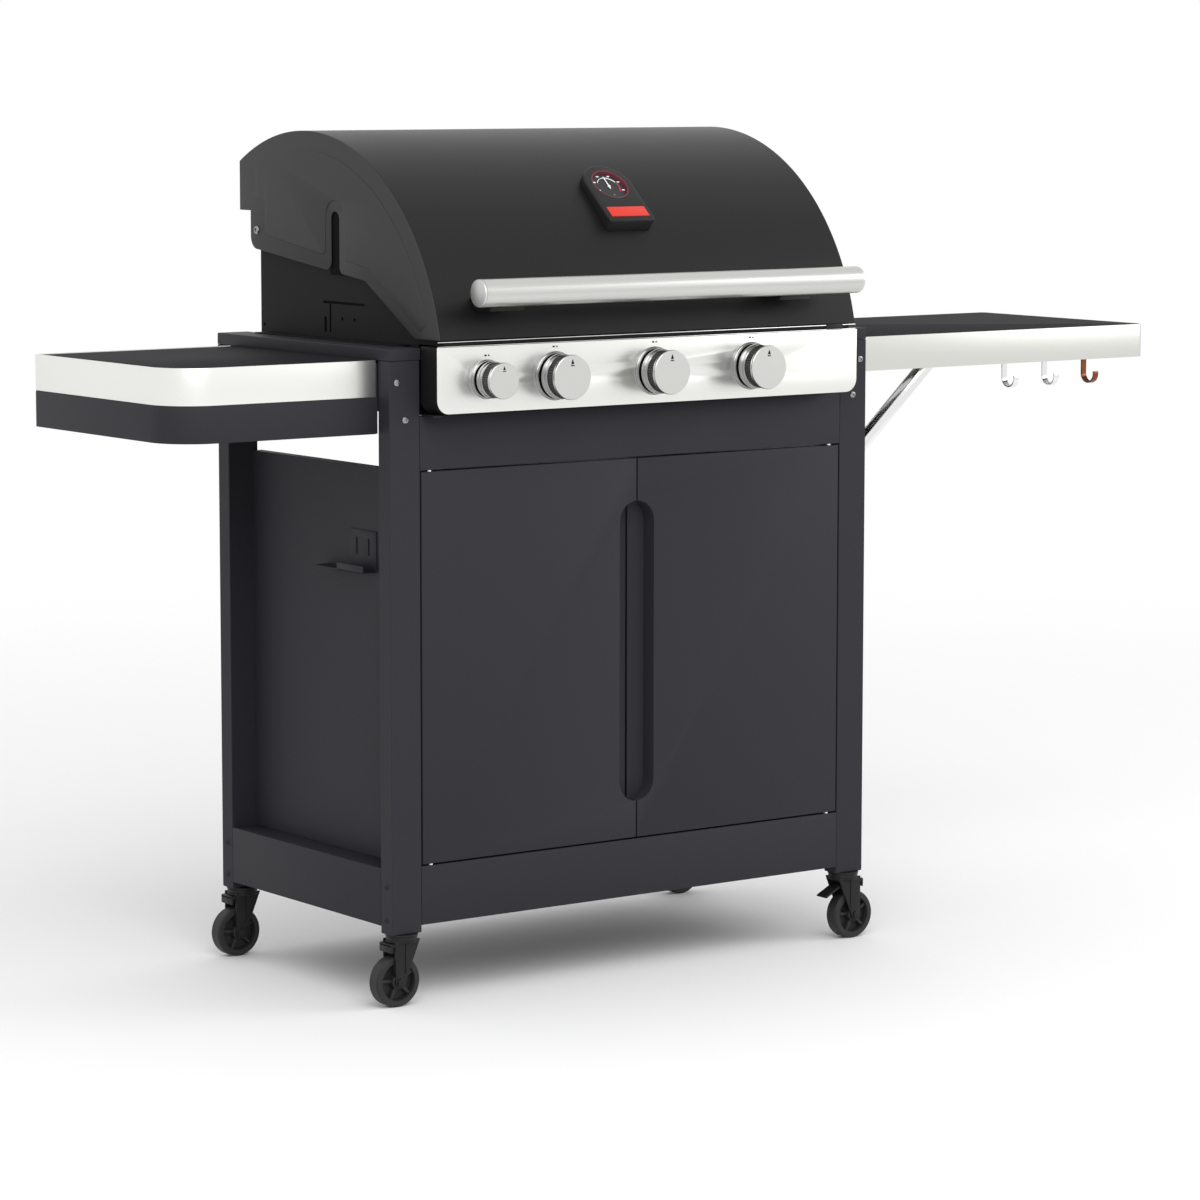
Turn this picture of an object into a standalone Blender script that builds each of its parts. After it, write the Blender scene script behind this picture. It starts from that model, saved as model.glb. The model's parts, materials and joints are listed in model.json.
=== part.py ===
"""Gas barbecue grill: cabinet on four casters, firebox with a hinged lid, side burner and folding shelf.

Metres, X to the right, Y to the back, Z up. The design frame below has its origin at the left front
corner of the cabinet, on the floor. An empty then carries everything to the middle of the footprint.
"""

import math

import bmesh
import bpy
from mathutils import Matrix, Vector

# Sheet, gaps and small clearances
SHEET = 0.0015
GAP = 0.0003
OVERRUN = 0.010
DOOR_GAP = 0.0024

# Cabinet
CABINET_WIDTH = 0.8205
CABINET_DEPTH = 0.443
LEG_WIDTH = 0.048
LEG_DEPTH = 0.028
LEG_BOTTOM = 0.100
RAIL_CAP_BOTTOM = 0.8775
RAIL_CAP_TOP = 0.8936
RAIL_CAP_WIDTH = 0.0497
SIDE_RAIL_BOTTOM = 0.1097
SIDE_RAIL_TOP = 0.189
PANEL_INSET = 0.040
SIDE_PANEL_TOP = 0.727
SIDE_PANEL_HEM = 0.015
BACK_PANEL_TOP = 0.655
BACK_PANEL_FLANGE = 0.015
FLOOR_TOP = 0.188
FLOOR_FLANGE = 0.014
FRONT_RAIL_DEPTH = 0.020
LOWER_RAIL_TOP = 0.1905
UPPER_RAIL_BOTTOM = 0.7294
UPPER_RAIL_TOP = 0.802

# Doors
DOOR_DEPTH = 0.027
DOOR_PIVOT_INSET = 0.0137
DOOR_PIVOT_Y = 0.007
RECESS_RADIUS = 0.0295
RECESS_DEPTH = 0.025
RECESS_BOTTOM = 0.2446
RECESS_TOP = 0.6675

# Control panel, valves and knobs
PANEL_LEFT = 0.0497
PANEL_RIGHT = 0.770
PANEL_BOTTOM = 0.8065
PANEL_TOP = 0.8958
PANEL_FRONT = -0.040
PANEL_BACK = -0.0005
PANEL_CORNER = 0.019
KNOB_X = (0.130, 0.242, 0.410, 0.579)
KNOB_Z = 0.851
KNOB_SCALE = (0.8, 1.0, 1.0, 1.0)
KNOB_FACE = -0.081
KNOB_BACK = -0.050
KNOB_RADIUS = 0.0305
STEM_RADIUS = 0.004
STEM_TIP = -0.074
STEM_ROOT = -0.024
STEM_HOLE_RADIUS = 0.007
MANIFOLD_Y = -0.010
MANIFOLD_RADIUS = 0.009
MANIFOLD_ENDS = (0.075, 0.735)
VALVE_FRONT = -0.034
VALVE_HALF_WIDTH = 0.012
VALVE_HALF_HEIGHT = 0.013
JET_RADIUS = 0.004
JET_TIP = 0.018
JET_HALF_BLOCK = 0.006

# Firebox and what stands in it
FIREBOX_LEFT = 0.064
FIREBOX_RIGHT = CABINET_WIDTH - FIREBOX_LEFT
FIREBOX_WALL = 0.026
FIREBOX_BOTTOM = 0.800
FIREBOX_BACK = 0.428
FIREBOX_TOP = 1.050
FIREBOX_TOP_FRONT = 0.195
FIREBOX_CHAMFER = 0.015
HANGER_OVERLAP = 0.014
HANGER_Y = (0.050, 0.400)
DRAIN_X = (0.345, 0.465)
DRAIN_Y = (0.180, 0.280)
GRATE_LEDGE_DEPTH = 0.014
LEDGE_FRONT = -0.038
LEDGE_BOTTOM = 0.897
LIP_TOP = 0.903
BURNER_X = KNOB_X[1:]
BURNER_Z = 0.830
BURNER_RADIUS = 0.015
BURNER_Y = (0.014, 0.380)
TAMER_HALF_WIDTH = 0.050
TAMER_LOW = 0.848
TAMER_PEAK = 0.874
TAMER_Y = (0.045, 0.395)
GRATE_BOTTOM = 0.882
GRATE_THICKNESS = 0.010
GRATE_BAR = 0.008
GRATE_PITCH = 0.025
GRATE_SIDE_ROOM = 0.005
GRATE_END_ROOM = 0.004
TRAY_LEFT = 0.335
TRAY_RIGHT = 0.475
TRAY_BOTTOM = 0.766
TRAY_TOP = 0.788
TRAY_Y = (0.060, 0.432)
TRAY_GRIP_Y = 0.410
RUNNER_OUTSIDE = 0.004
RUNNER_INSIDE = 0.010
RUNNER_DROP = 0.002
RACK_BOTTOM = 0.985
RACK_THICKNESS = 0.006
RACK_Y = (0.270, 0.405)
RACK_BAR = 0.006
RACK_PITCH = 0.050

# Lid: one circular arc from the front hem to the back edge, then a straight drop
LID_LEFT = 0.054
LID_RIGHT = CABINET_WIDTH - LID_LEFT
LID_CENTRE_Y = 0.2974
LID_CENTRE_Z = 0.8341
LID_RADIUS = 0.3444
LID_HEM_Z = 0.905
LID_BACK = 0.4673
LID_BACK_HEM_Z = 1.0648
LID_PIVOT_Y = 0.4213
LID_PIVOT_Z = 1.0376
LID_PIN_RADIUS = 0.004
CAP_LOWER_EDGE = ((0.1420, 0.9770), (0.2063, 0.9848), (0.2063, 1.0587), (0.2273, 1.0587), (0.2273, 0.9873),
                  (0.4387, 1.0126))
CAP_EDGE_RADII = (0.010, 0.012, 0.0104, 0.0104, 0.016, 0.018)
CAP_FRONT_Y = 0.0207
HANDLE_LEFT = 0.086
HANDLE_RIGHT = 0.735
HANDLE_Y = -0.083
HANDLE_Z = 0.969
HANDLE_RADIUS = 0.01875
HANDLE_VENT_RADIUS = 0.003
BRACKET_WIDTH = 0.055
BRACKET_X = (0.113, 0.603)
BRACKET_Z = (0.9415, 0.9600)
BRACKET_ROOT = -0.010
GAUGE_X = CABINET_WIDTH / 2
GAUGE_ANGLE = math.radians(130.7)
GAUGE_RADIUS = 0.0395
GAUGE_TAIL = 0.074
GAUGE_STANDOFF = 0.012
GAUGE_DIAL_RADIUS = 0.029
GAUGE_DIAL_DEPTH = 0.006
GAUGE_ROOT = -0.030
NEEDLE_HALF_WIDTH = 0.0008
NEEDLE_TIP = 0.020
NEEDLE_TAIL = -0.005
NEEDLE_Z = (-0.0045, -0.0037)
NEEDLE_HUB_RADIUS = 0.003
NEEDLE_HUB_Z = (-0.0052, -0.0030)

# Side shelves
SHELF_FRONT = 0.0285
SHELF_BACK = 0.400
SHELF_TOP = 0.878
BAND_BOTTOM = 0.8285
BAND_WALL = 0.002
LEFT_SHELF_END = -0.314
LEFT_SHELF_INNER = -0.003
LEFT_CORNER = 0.062
BURNER_BOX_BOTTOM = 0.779
BURNER_LID_DEPTH = 0.012
RIGHT_SHELF_END = 1.392
RIGHT_SHELF_INNER = 0.823
RIGHT_CORNER = 0.010
SHELF_PIVOT_X = 0.832
SHELF_PIVOT_Z = 0.832
STRUT_PIVOT_X = 0.834
STRUT_PIVOT_Z = 0.672
STRUT_ANGLE = math.radians(42.3)
STRUT_LENGTH = 0.265
STRUT_WIDTH = 0.018
STRUT_HEIGHT = 0.015
STRUT_Y = (0.085, 0.3435)
EAR_OFFSET = 0.0115
LUG_OFFSET = 0.016
HOOK_X = (1.140, 1.220, 1.300)
HOOK_Y = 0.062
HOOK_WIDTH = 0.010
HOOK_THICKNESS = 0.0025
HOOK_RADIUS = 0.0135
HOOK_CENTRE_Z = 0.8055

# Casters
WHEEL_RADIUS = 0.035
WHEEL_HALF_WIDTH = 0.011
CASTER_TRAIL = 0.012
CROWN_RADIUS = 0.0215
CROWN_TOP = 0.0965
CROWN_BOTTOM = 0.0885
CHEEK_INNER = 0.0135
CHEEK_OUTER = 0.0160
AXLE_RADIUS = 0.004
BRAKE_OFFSET = 0.010
BRAKE_PIVOT_Z = 0.0805
BRAKE_SLOPE = math.radians(27)

# Finishes: base colour, roughness, metallic
FINISHES = {
    "cabinet_paint": ((0.045, 0.045, 0.052, 1.0), 0.55, 0.1),
    "lid_enamel": ((0.028, 0.028, 0.028, 1.0), 0.35, 0.0),
    "firebox_enamel": ((0.022, 0.022, 0.022, 1.0), 0.45, 0.0),
    "stainless": ((0.75, 0.75, 0.73, 1.0), 0.30, 1.0),
    "chrome": ((0.80, 0.80, 0.80, 1.0), 0.12, 1.0),
    "cast_iron": ((0.030, 0.030, 0.030, 1.0), 0.70, 0.3),
    "brass": ((0.60, 0.42, 0.18, 1.0), 0.35, 1.0),
    "black_plastic": ((0.020, 0.020, 0.020, 1.0), 0.40, 0.0),
    "dial_white": ((0.80, 0.80, 0.80, 1.0), 0.50, 0.0),
}


def clear_scene():
    for leftover in list(bpy.data.objects):
        bpy.data.objects.remove(leftover)


def new_collection(name):
    collection = bpy.data.collections.new(name)
    bpy.context.scene.collection.children.link(collection)
    return collection


def make_materials():
    materials = {}
    for name, (colour, roughness, metallic) in FINISHES.items():
        material = bpy.data.materials.new(name)
        material.use_nodes = True
        shader = material.node_tree.nodes["Principled BSDF"]
        shader.inputs["Base Color"].default_value = colour
        shader.inputs["Roughness"].default_value = roughness
        shader.inputs["Metallic"].default_value = metallic
        material.diffuse_color = colour
        materials[name] = material
    return materials


clear_scene()
PARTS = new_collection("gas_barbecue_grill")
CUTTERS = new_collection("cutters")
MATERIALS = make_materials()

FOOTPRINT_X = (LEFT_SHELF_END + RIGHT_SHELF_END) / 2
FOOTPRINT_Y = (HANDLE_Y - HANDLE_RADIUS + LID_BACK) / 2
FRAME = bpy.data.objects.new("grill_frame", None)
FRAME.location = (-FOOTPRINT_X, -FOOTPRINT_Y, 0)
PARTS.objects.link(FRAME)

IDENTITY = Matrix.Identity(4)
ALONG_X = Matrix(((0, 0, 1, 0), (1, 0, 0, 0), (0, 1, 0, 0), (0, 0, 0, 1)))
FRONT_OUTLINE = Matrix(((1, 0, 0, 0), (0, 0, -1, 0), (0, 1, 0, 0), (0, 0, 0, 1)))


# ---- shared makers -------------------------------------------------------------------------------

def place(name, mesh, finish, pivot=(0, 0, 0)):
    """Make a named part from a mesh in the design frame, with its origin on its pivot."""
    mesh.transform(Matrix.Translation(-Vector(pivot)))
    part = bpy.data.objects.new(name, mesh)
    part.location = pivot
    part.parent = FRAME
    part.data.materials.append(MATERIALS[finish])
    PARTS.objects.link(part)
    return part


def place_tool(mesh):
    """Make a hidden cutter or joining shape."""
    tool = bpy.data.objects.new("tool", mesh)
    tool.parent = FRAME
    tool.hide_render = True
    tool.display_type = "WIRE"
    CUTTERS.objects.link(tool)
    return tool


def combine(part, mesh, operation):
    modifier = part.modifiers.new(operation.lower(), "BOOLEAN")
    modifier.object = place_tool(mesh)
    modifier.operation = operation
    modifier.solver = "EXACT"
    return part


def cut(part, mesh):
    return combine(part, mesh, "DIFFERENCE")


def join(part, mesh):
    return combine(part, mesh, "UNION")


def soften(part, width, segments=1):
    bevel = part.modifiers.new("soft_edges", "BEVEL")
    bevel.width = width
    bevel.segments = segments
    bevel.limit_method = "ANGLE"
    return part


def finish_mesh(bm, name="shape"):
    mesh = bpy.data.meshes.new(name)
    bm.to_mesh(mesh)
    bm.free()
    return mesh


def box(low, high):
    size = [b - a for a, b in zip(low, high)]
    middle = [(a + b) / 2 for a, b in zip(low, high)]
    bm = bmesh.new()
    bmesh.ops.create_cube(bm, size=1, matrix=Matrix.Translation(middle) @ Matrix.Diagonal((*size, 1)))
    return finish_mesh(bm)


def cylinder(start, end, radius, segments=24, end_radius=None):
    """A capped cylinder or cone between two points."""
    start, end = Vector(start), Vector(end)
    axis = end - start
    turn = axis.to_track_quat("Z", "Y").to_matrix().to_4x4()
    bm = bmesh.new()
    bmesh.ops.create_cone(
        bm, cap_ends=True, segments=segments, radius1=radius,
        radius2=radius if end_radius is None else end_radius, depth=axis.length,
        matrix=Matrix.Translation((start + end) / 2) @ turn)
    return finish_mesh(bm)


def arc(centre, radius, start, end, steps):
    """Points along an arc, angles in degrees."""
    angles = [math.radians(start + (end - start) * i / steps) for i in range(steps + 1)]
    return [(centre[0] + radius * math.cos(a), centre[1] + radius * math.sin(a)) for a in angles]


def fillet(corners, radii, steps=6):
    """Round each corner of a closed outline by its own radius (0 keeps it sharp)."""
    outline = []
    count = len(corners)
    for i, (corner, radius) in enumerate(zip(corners, radii)):
        here = Vector(corner)
        if radius == 0:
            outline.append(tuple(here))
            continue
        to_last = (Vector(corners[i - 1]) - here).normalized()
        to_next = (Vector(corners[(i + 1) % count]) - here).normalized()
        half = to_last.angle(to_next) / 2
        reach = radius / math.tan(half)
        centre = here + (to_last + to_next).normalized() * (radius / math.sin(half))
        first = here + to_last * reach - centre
        last = here + to_next * reach - centre
        start = math.atan2(first.y, first.x)
        sweep = (math.atan2(last.y, last.x) - start + math.pi) % (2 * math.pi) - math.pi
        for k in range(steps + 1):
            angle = start + sweep * k / steps
            outline.append((centre.x + radius * math.cos(angle), centre.y + radius * math.sin(angle)))
    return outline


def prism(outline, turn, low, high):
    """Extrude a closed flat outline between two heights along the turned Z axis."""
    curve = bpy.data.curves.new("outline", "CURVE")
    curve.dimensions = "2D"
    curve.fill_mode = "BOTH"
    curve.extrude = (high - low) / 2
    spline = curve.splines.new("POLY")
    spline.points.add(len(outline) - 1)
    for point, (u, v) in zip(spline.points, outline):
        point.co = (u, v, 0, 1)
    spline.use_cyclic_u = True
    holder = bpy.data.objects.new("outline", curve)
    CUTTERS.objects.link(holder)
    bpy.context.view_layer.update()
    mesh = bpy.data.meshes.new_from_object(holder.evaluated_get(bpy.context.evaluated_depsgraph_get()))
    bpy.data.objects.remove(holder)
    bm = bmesh.new()
    bm.from_mesh(mesh)
    bmesh.ops.remove_doubles(bm, verts=bm.verts, dist=0.00001)
    bmesh.ops.recalc_face_normals(bm, faces=bm.faces)
    bm.to_mesh(mesh)
    bm.free()
    mesh.transform(turn @ Matrix.Translation((0, 0, (low + high) / 2)))
    mesh.materials.clear()
    return mesh


def lathe(name, profile, finish, pivot, turn, steps):
    """Turn a closed (radius, height) profile about the local Z axis, then lay that axis along a turn."""
    bm = bmesh.new()
    corners = [bm.verts.new((radius, 0, height)) for radius, height in profile]
    for a, b in zip(corners, corners[1:] + corners[:1]):
        if profile[corners.index(a)][0] > 0 or profile[corners.index(b)][0] > 0:
            bm.edges.new((a, b))
    part = bpy.data.objects.new(name, finish_mesh(bm))
    part.location = pivot
    part.rotation_euler = turn.to_euler()
    part.parent = FRAME
    part.data.materials.append(MATERIALS[finish])
    PARTS.objects.link(part)
    screw = part.modifiers.new("turned", "SCREW")
    screw.steps = steps
    screw.render_steps = steps
    screw.use_merge_vertices = True
    screw.merge_threshold = 0.00001
    return part


def turned(mesh, matrix):
    mesh.transform(matrix)
    return mesh


def inset(low, high, margin):
    return [a + margin for a in low], [b - margin for b in high]


# ---- cabinet -------------------------------------------------------------------------------------

def build_legs():
    right = CABINET_WIDTH - LEG_WIDTH
    back = CABINET_DEPTH - LEG_DEPTH
    corners = {"front_left": (0, 0), "front_right": (right, 0), "back_left": (0, back), "back_right": (right, back)}
    top = RAIL_CAP_BOTTOM - GAP
    for corner, (x, y) in corners.items():
        low, high = (x, y, LEG_BOTTOM), (x + LEG_WIDTH, y + LEG_DEPTH, top)
        leg = place("leg_" + corner, box(low, high), "cabinet_paint")
        soften(leg, 0.0008)
        cut(leg, box((x + SHEET, y + SHEET, LEG_BOTTOM - OVERRUN), (high[0] - SHEET, high[1] - SHEET, top - SHEET)))


def build_side(side):
    """Cap rail, lower rail and recessed panel of one side."""
    def across(a, b):
        return (a, b) if side == "left" else (CABINET_WIDTH - b, CABINET_WIDTH - a)

    outer, inner = across(0, RAIL_CAP_WIDTH)
    cap = place("side_rail_top_" + side, box((outer, 0, RAIL_CAP_BOTTOM), (inner, CABINET_DEPTH, RAIL_CAP_TOP)),
                "cabinet_paint")
    soften(cap, 0.0008)
    low, high = inset((outer, 0, RAIL_CAP_BOTTOM), (inner, CABINET_DEPTH, RAIL_CAP_TOP), SHEET)
    cut(cap, box((low[0], low[1], low[2] - OVERRUN), high))

    front, back = LEG_DEPTH + GAP, CABINET_DEPTH - LEG_DEPTH - GAP
    outer, inner = across(0, LEG_WIDTH)
    rail = place("side_rail_bottom_" + side, box((outer, front, SIDE_RAIL_BOTTOM), (inner, back, SIDE_RAIL_TOP)),
                 "cabinet_paint")
    outer, inner = across(SHEET, LEG_WIDTH + OVERRUN)
    cut(rail, box((outer, front + SHEET, SIDE_RAIL_BOTTOM + SHEET), (inner, back - SHEET, SIDE_RAIL_TOP - SHEET)))

    outer, inner = across(PANEL_INSET, PANEL_INSET + SIDE_PANEL_HEM)
    panel = place("side_panel_" + side, box((outer, front, SIDE_RAIL_TOP + GAP), (inner, back, SIDE_PANEL_TOP)),
                  "cabinet_paint")
    outer, inner = across(PANEL_INSET + SHEET, PANEL_INSET + SIDE_PANEL_HEM + OVERRUN)
    cut(panel, box((outer, front - OVERRUN, 0), (inner, back + OVERRUN, SIDE_PANEL_TOP - SHEET)))


def build_front_rails():
    left, right = LEG_WIDTH + GAP, CABINET_WIDTH - LEG_WIDTH - GAP
    for name, bottom, top in (("front_rail_bottom", SIDE_RAIL_BOTTOM, LOWER_RAIL_TOP),
                              ("front_rail_top", UPPER_RAIL_BOTTOM, UPPER_RAIL_TOP)):
        low, high = (left, 0, bottom), (right, FRONT_RAIL_DEPTH, top)
        rail = place(name, box(low, high), "cabinet_paint")
        low, high = inset(low, high, SHEET)
        cut(rail, box(low, (high[0], FRONT_RAIL_DEPTH + OVERRUN, high[2])))


def build_back_panel():
    low = (LEG_WIDTH + GAP, CABINET_DEPTH - BACK_PANEL_FLANGE, SIDE_RAIL_BOTTOM)
    high = (CABINET_WIDTH - LEG_WIDTH - GAP, CABINET_DEPTH, BACK_PANEL_TOP)
    panel = place("back_panel", box(low, high), "cabinet_paint")
    low, high = inset(low, high, SHEET)
    cut(panel, box((low[0], low[1] - OVERRUN, low[2]), high))


def build_bottom_shelf():
    low = (LEG_WIDTH + GAP, FRONT_RAIL_DEPTH + GAP, FLOOR_TOP - FLOOR_FLANGE)
    high = (CABINET_WIDTH - LEG_WIDTH - GAP, CABINET_DEPTH - BACK_PANEL_FLANGE - GAP, FLOOR_TOP)
    shelf = place("bottom_shelf", box(low, high), "cabinet_paint")
    low, high = inset(low, high, SHEET)
    cut(shelf, box((low[0], low[1], low[2] - OVERRUN), high))


# ---- doors ---------------------------------------------------------------------------------------

def build_door(side):
    """A folded pan, open at the back, with its half of the finger recess."""
    middle = CABINET_WIDTH / 2
    bottom, top = LOWER_RAIL_TOP + DOOR_GAP, UPPER_RAIL_BOTTOM - DOOR_GAP
    hinge_edge = LEG_WIDTH + DOOR_GAP
    free_edge = middle - DOOR_GAP / 2

    def across(a, b):
        return (a, b) if side == "left" else (CABINET_WIDTH - b, CABINET_WIDTH - a)

    left, right = across(hinge_edge, free_edge)
    pivot_x = across(hinge_edge + DOOR_PIVOT_INSET, 0)[0 if side == "left" else 1]
    low, high = (left, 0, bottom), (right, DOOR_DEPTH, top)
    door = bpy.data.objects.new("door_" + side, box(low, high))
    door.data.transform(Matrix.Translation((-pivot_x, -DOOR_PIVOT_Y, 0)))
    door.location = (pivot_x, DOOR_PIVOT_Y, 0)
    door.parent = FRAME
    door.data.materials.append(MATERIALS["cabinet_paint"])
    PARTS.objects.link(door)
    low, high = inset(low, high, SHEET)
    cut(door, box(low, (high[0], DOOR_DEPTH + OVERRUN, high[2])))

    wall = RECESS_RADIUS + SHEET
    for radius, front, back, operation in ((wall, SHEET / 2, DOOR_DEPTH, "UNION"),
                                           (RECESS_RADIUS, -OVERRUN, RECESS_DEPTH, "DIFFERENCE")):
        upper = arc((middle, RECESS_TOP - RECESS_RADIUS), radius, 0, 180, 16)
        lower = arc((middle, RECESS_BOTTOM + RECESS_RADIUS), radius, 180, 360, 16)
        tool = prism(upper + lower, FRONT_OUTLINE, -back, -front)
        if operation == "UNION":
            keep = bpy.data.objects.new("tool", tool)
            left, right = across(middle, middle + OVERRUN + wall)
            left, right = (left - DOOR_GAP / 2, right) if side == "left" else (left, right + DOOR_GAP / 2)
            trimmed = trim(keep, box((left, -OVERRUN, 0), (right, DOOR_DEPTH + OVERRUN, 1)))
            join(door, trimmed)
        else:
            cut(door, tool)


def trim(holder, waste):
    """The holder's mesh less the waste mesh, evaluated at once."""
    CUTTERS.objects.link(holder)
    cutter = bpy.data.objects.new("waste", waste)
    CUTTERS.objects.link(cutter)
    modifier = holder.modifiers.new("trim", "BOOLEAN")
    modifier.object = cutter
    modifier.operation = "DIFFERENCE"
    bpy.context.view_layer.update()
    mesh = bpy.data.meshes.new_from_object(holder.evaluated_get(bpy.context.evaluated_depsgraph_get()))
    bpy.data.objects.remove(holder)
    bpy.data.objects.remove(cutter)
    return mesh


# ---- control panel, gas and knobs ----------------------------------------------------------------

def panel_outline(margin):
    corners = [(PANEL_LEFT + margin, PANEL_BOTTOM + margin), (PANEL_RIGHT - margin, PANEL_BOTTOM + margin),
               (PANEL_RIGHT - margin, PANEL_TOP - margin), (PANEL_LEFT + margin, PANEL_TOP - margin)]
    lower = PANEL_CORNER - margin
    return fillet(corners, (lower, lower, 0, 0), 9)


def build_control_panel():
    panel = place("control_panel", prism(panel_outline(0), FRONT_OUTLINE, -PANEL_BACK, -PANEL_FRONT), "stainless")
    for x in KNOB_X:
        cut(panel, cylinder((x, PANEL_FRONT - OVERRUN, KNOB_Z), (x, PANEL_FRONT + OVERRUN, KNOB_Z), STEM_HOLE_RADIUS, 16))
    cut(panel, prism(panel_outline(SHEET), FRONT_OUTLINE, -PANEL_BACK - OVERRUN, -PANEL_FRONT - SHEET))


def build_gas_manifold():
    """Supply tube with a valve body behind each knob and a jet for each main burner."""
    left, right = MANIFOLD_ENDS
    tube = cylinder((left, MANIFOLD_Y, KNOB_Z), (right, MANIFOLD_Y, KNOB_Z), MANIFOLD_RADIUS, 16)
    manifold = place("gas_manifold", tube, "brass")
    for x in KNOB_X:
        join(manifold, box((x - VALVE_HALF_WIDTH, VALVE_FRONT, KNOB_Z - VALVE_HALF_HEIGHT),
                           (x + VALVE_HALF_WIDTH, MANIFOLD_Y, KNOB_Z + VALVE_HALF_HEIGHT)))
    for x in BURNER_X:
        join(manifold, box((x - JET_HALF_BLOCK, MANIFOLD_Y - JET_HALF_BLOCK, BURNER_Z - JET_HALF_BLOCK),
                           (x + JET_HALF_BLOCK, MANIFOLD_Y + 2 * JET_HALF_BLOCK, KNOB_Z)))
        join(manifold, cylinder((x, MANIFOLD_Y, BURNER_Z), (x, JET_TIP, BURNER_Z), JET_RADIUS, 12))
    for x in KNOB_X:
        socket = STEM_RADIUS + 2 * GAP
        cut(manifold, cylinder((x, VALVE_FRONT - OVERRUN, KNOB_Z), (x, STEM_ROOT + 0.005, KNOB_Z), socket, 16))


def build_knobs():
    """Each knob turns on a stem that is pushed in to light the burner."""
    for number, (x, scale) in enumerate(zip(KNOB_X, KNOB_SCALE), 1):
        stem = cylinder((x, STEM_TIP, KNOB_Z), (x, STEM_ROOT, KNOB_Z), STEM_RADIUS, 16)
        place(f"valve_stem_{number}", stem, "brass", (x, STEM_ROOT, KNOB_Z))
        radius = KNOB_RADIUS * scale
        depth = KNOB_BACK - KNOB_FACE
        bore = STEM_RADIUS + GAP
        profile = [(bore, 0), (bore, KNOB_BACK - STEM_TIP + GAP), (0, KNOB_BACK - STEM_TIP + GAP), (0, depth),
                   (radius - 0.0015, depth), (radius, depth - 0.0015), (radius, 0.011), (radius + 0.0005, 0.009),
                   (radius + 0.0005, 0)]
        lathe(f"knob_{number}", profile, "chrome", (x, KNOB_BACK, KNOB_Z), Matrix.Rotation(math.pi / 2, 3, "X"), 32)


# ---- firebox -------------------------------------------------------------------------------------

def build_firebox():
    """Open pan with tall sides and back, and a ledge over the control panel."""
    outer = [(LEDGE_FRONT, LIP_TOP), (LEDGE_FRONT, LEDGE_BOTTOM), (FIREBOX_WALL, LEDGE_BOTTOM),
             (FIREBOX_WALL, FIREBOX_BOTTOM + FIREBOX_CHAMFER), (FIREBOX_WALL + FIREBOX_CHAMFER, FIREBOX_BOTTOM),
             (FIREBOX_BACK, FIREBOX_BOTTOM), (FIREBOX_BACK, FIREBOX_TOP), (FIREBOX_TOP_FRONT, FIREBOX_TOP)]
    chamfer = FIREBOX_CHAMFER + 2 * GAP
    hollow = [(LEDGE_FRONT + SHEET, LEDGE_BOTTOM + SHEET), (FIREBOX_WALL + SHEET, LEDGE_BOTTOM + SHEET),
              (FIREBOX_WALL + SHEET, FIREBOX_BOTTOM + chamfer), (FIREBOX_WALL + chamfer, FIREBOX_BOTTOM + SHEET),
              (FIREBOX_BACK - SHEET, FIREBOX_BOTTOM + SHEET), (FIREBOX_BACK - SHEET, FIREBOX_TOP + OVERRUN),
              (LEDGE_FRONT + SHEET, FIREBOX_TOP + OVERRUN)]
    firebox = place("firebox", prism(outer, ALONG_X, FIREBOX_LEFT, FIREBOX_RIGHT), "firebox_enamel")
    cut(firebox, prism(hollow, ALONG_X, FIREBOX_LEFT + SHEET, FIREBOX_RIGHT - SHEET))
    for x in BURNER_X:
        cut(firebox, cylinder((x, FIREBOX_WALL - OVERRUN, BURNER_Z), (x, FIREBOX_WALL + OVERRUN, BURNER_Z), BURNER_RADIUS + 2 * GAP, 24))
    cut(firebox, box((DRAIN_X[0], DRAIN_Y[0], FIREBOX_BOTTOM - OVERRUN), (DRAIN_X[1], DRAIN_Y[1], FIREBOX_BOTTOM + OVERRUN)))
    front, back = TRAY_Y[0], TRAY_GRIP_Y
    for outer, inner in ((TRAY_LEFT - RUNNER_OUTSIDE, TRAY_LEFT + RUNNER_INSIDE),
                         (TRAY_RIGHT + RUNNER_OUTSIDE, TRAY_RIGHT - RUNNER_INSIDE)):
        side = math.copysign(SHEET, inner - outer)
        upright, shelf = sorted((outer, outer + side)), sorted((outer, inner))
        low = TRAY_BOTTOM - RUNNER_DROP
        join(firebox, box((upright[0], front, low), (upright[1], back, FIREBOX_BOTTOM + SHEET / 2)))
        join(firebox, box((shelf[0], front, low), (shelf[1], back, low + SHEET)))
    for inner, outer in ((FIREBOX_LEFT + SHEET / 2, RAIL_CAP_WIDTH - HANGER_OVERLAP),
                         (FIREBOX_RIGHT - SHEET / 2, CABINET_WIDTH - RAIL_CAP_WIDTH + HANGER_OVERLAP)):
        left, right = sorted((inner, outer))
        bottom = RAIL_CAP_TOP + GAP
        join(firebox, box((left, HANGER_Y[0], bottom), (right, HANGER_Y[1], bottom + SHEET)))
    ledge_top = GRATE_BOTTOM - GAP
    for front, back in ((FIREBOX_WALL + SHEET / 2, FIREBOX_WALL + GRATE_LEDGE_DEPTH),
                        (FIREBOX_BACK - GRATE_LEDGE_DEPTH, FIREBOX_BACK - SHEET / 2)):
        join(firebox, box((FIREBOX_LEFT + SHEET / 2, front, ledge_top - SHEET),
                          (FIREBOX_RIGHT - SHEET / 2, back, ledge_top)))


def slotted_plate(name, low, high, bar, spacing, finish):
    """A grate of bars running front to back inside a frame."""
    grate = place(name, box(low, high), finish)
    count = round((high[0] - low[0] - bar) / spacing)
    pitch = (high[0] - low[0] - bar) / count
    for i in range(count):
        left = low[0] + bar + i * pitch
        cut(grate, box((left, low[1] + bar, low[2] - OVERRUN), (left + pitch - bar, high[1] - bar, high[2] + OVERRUN)))
    return grate


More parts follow.
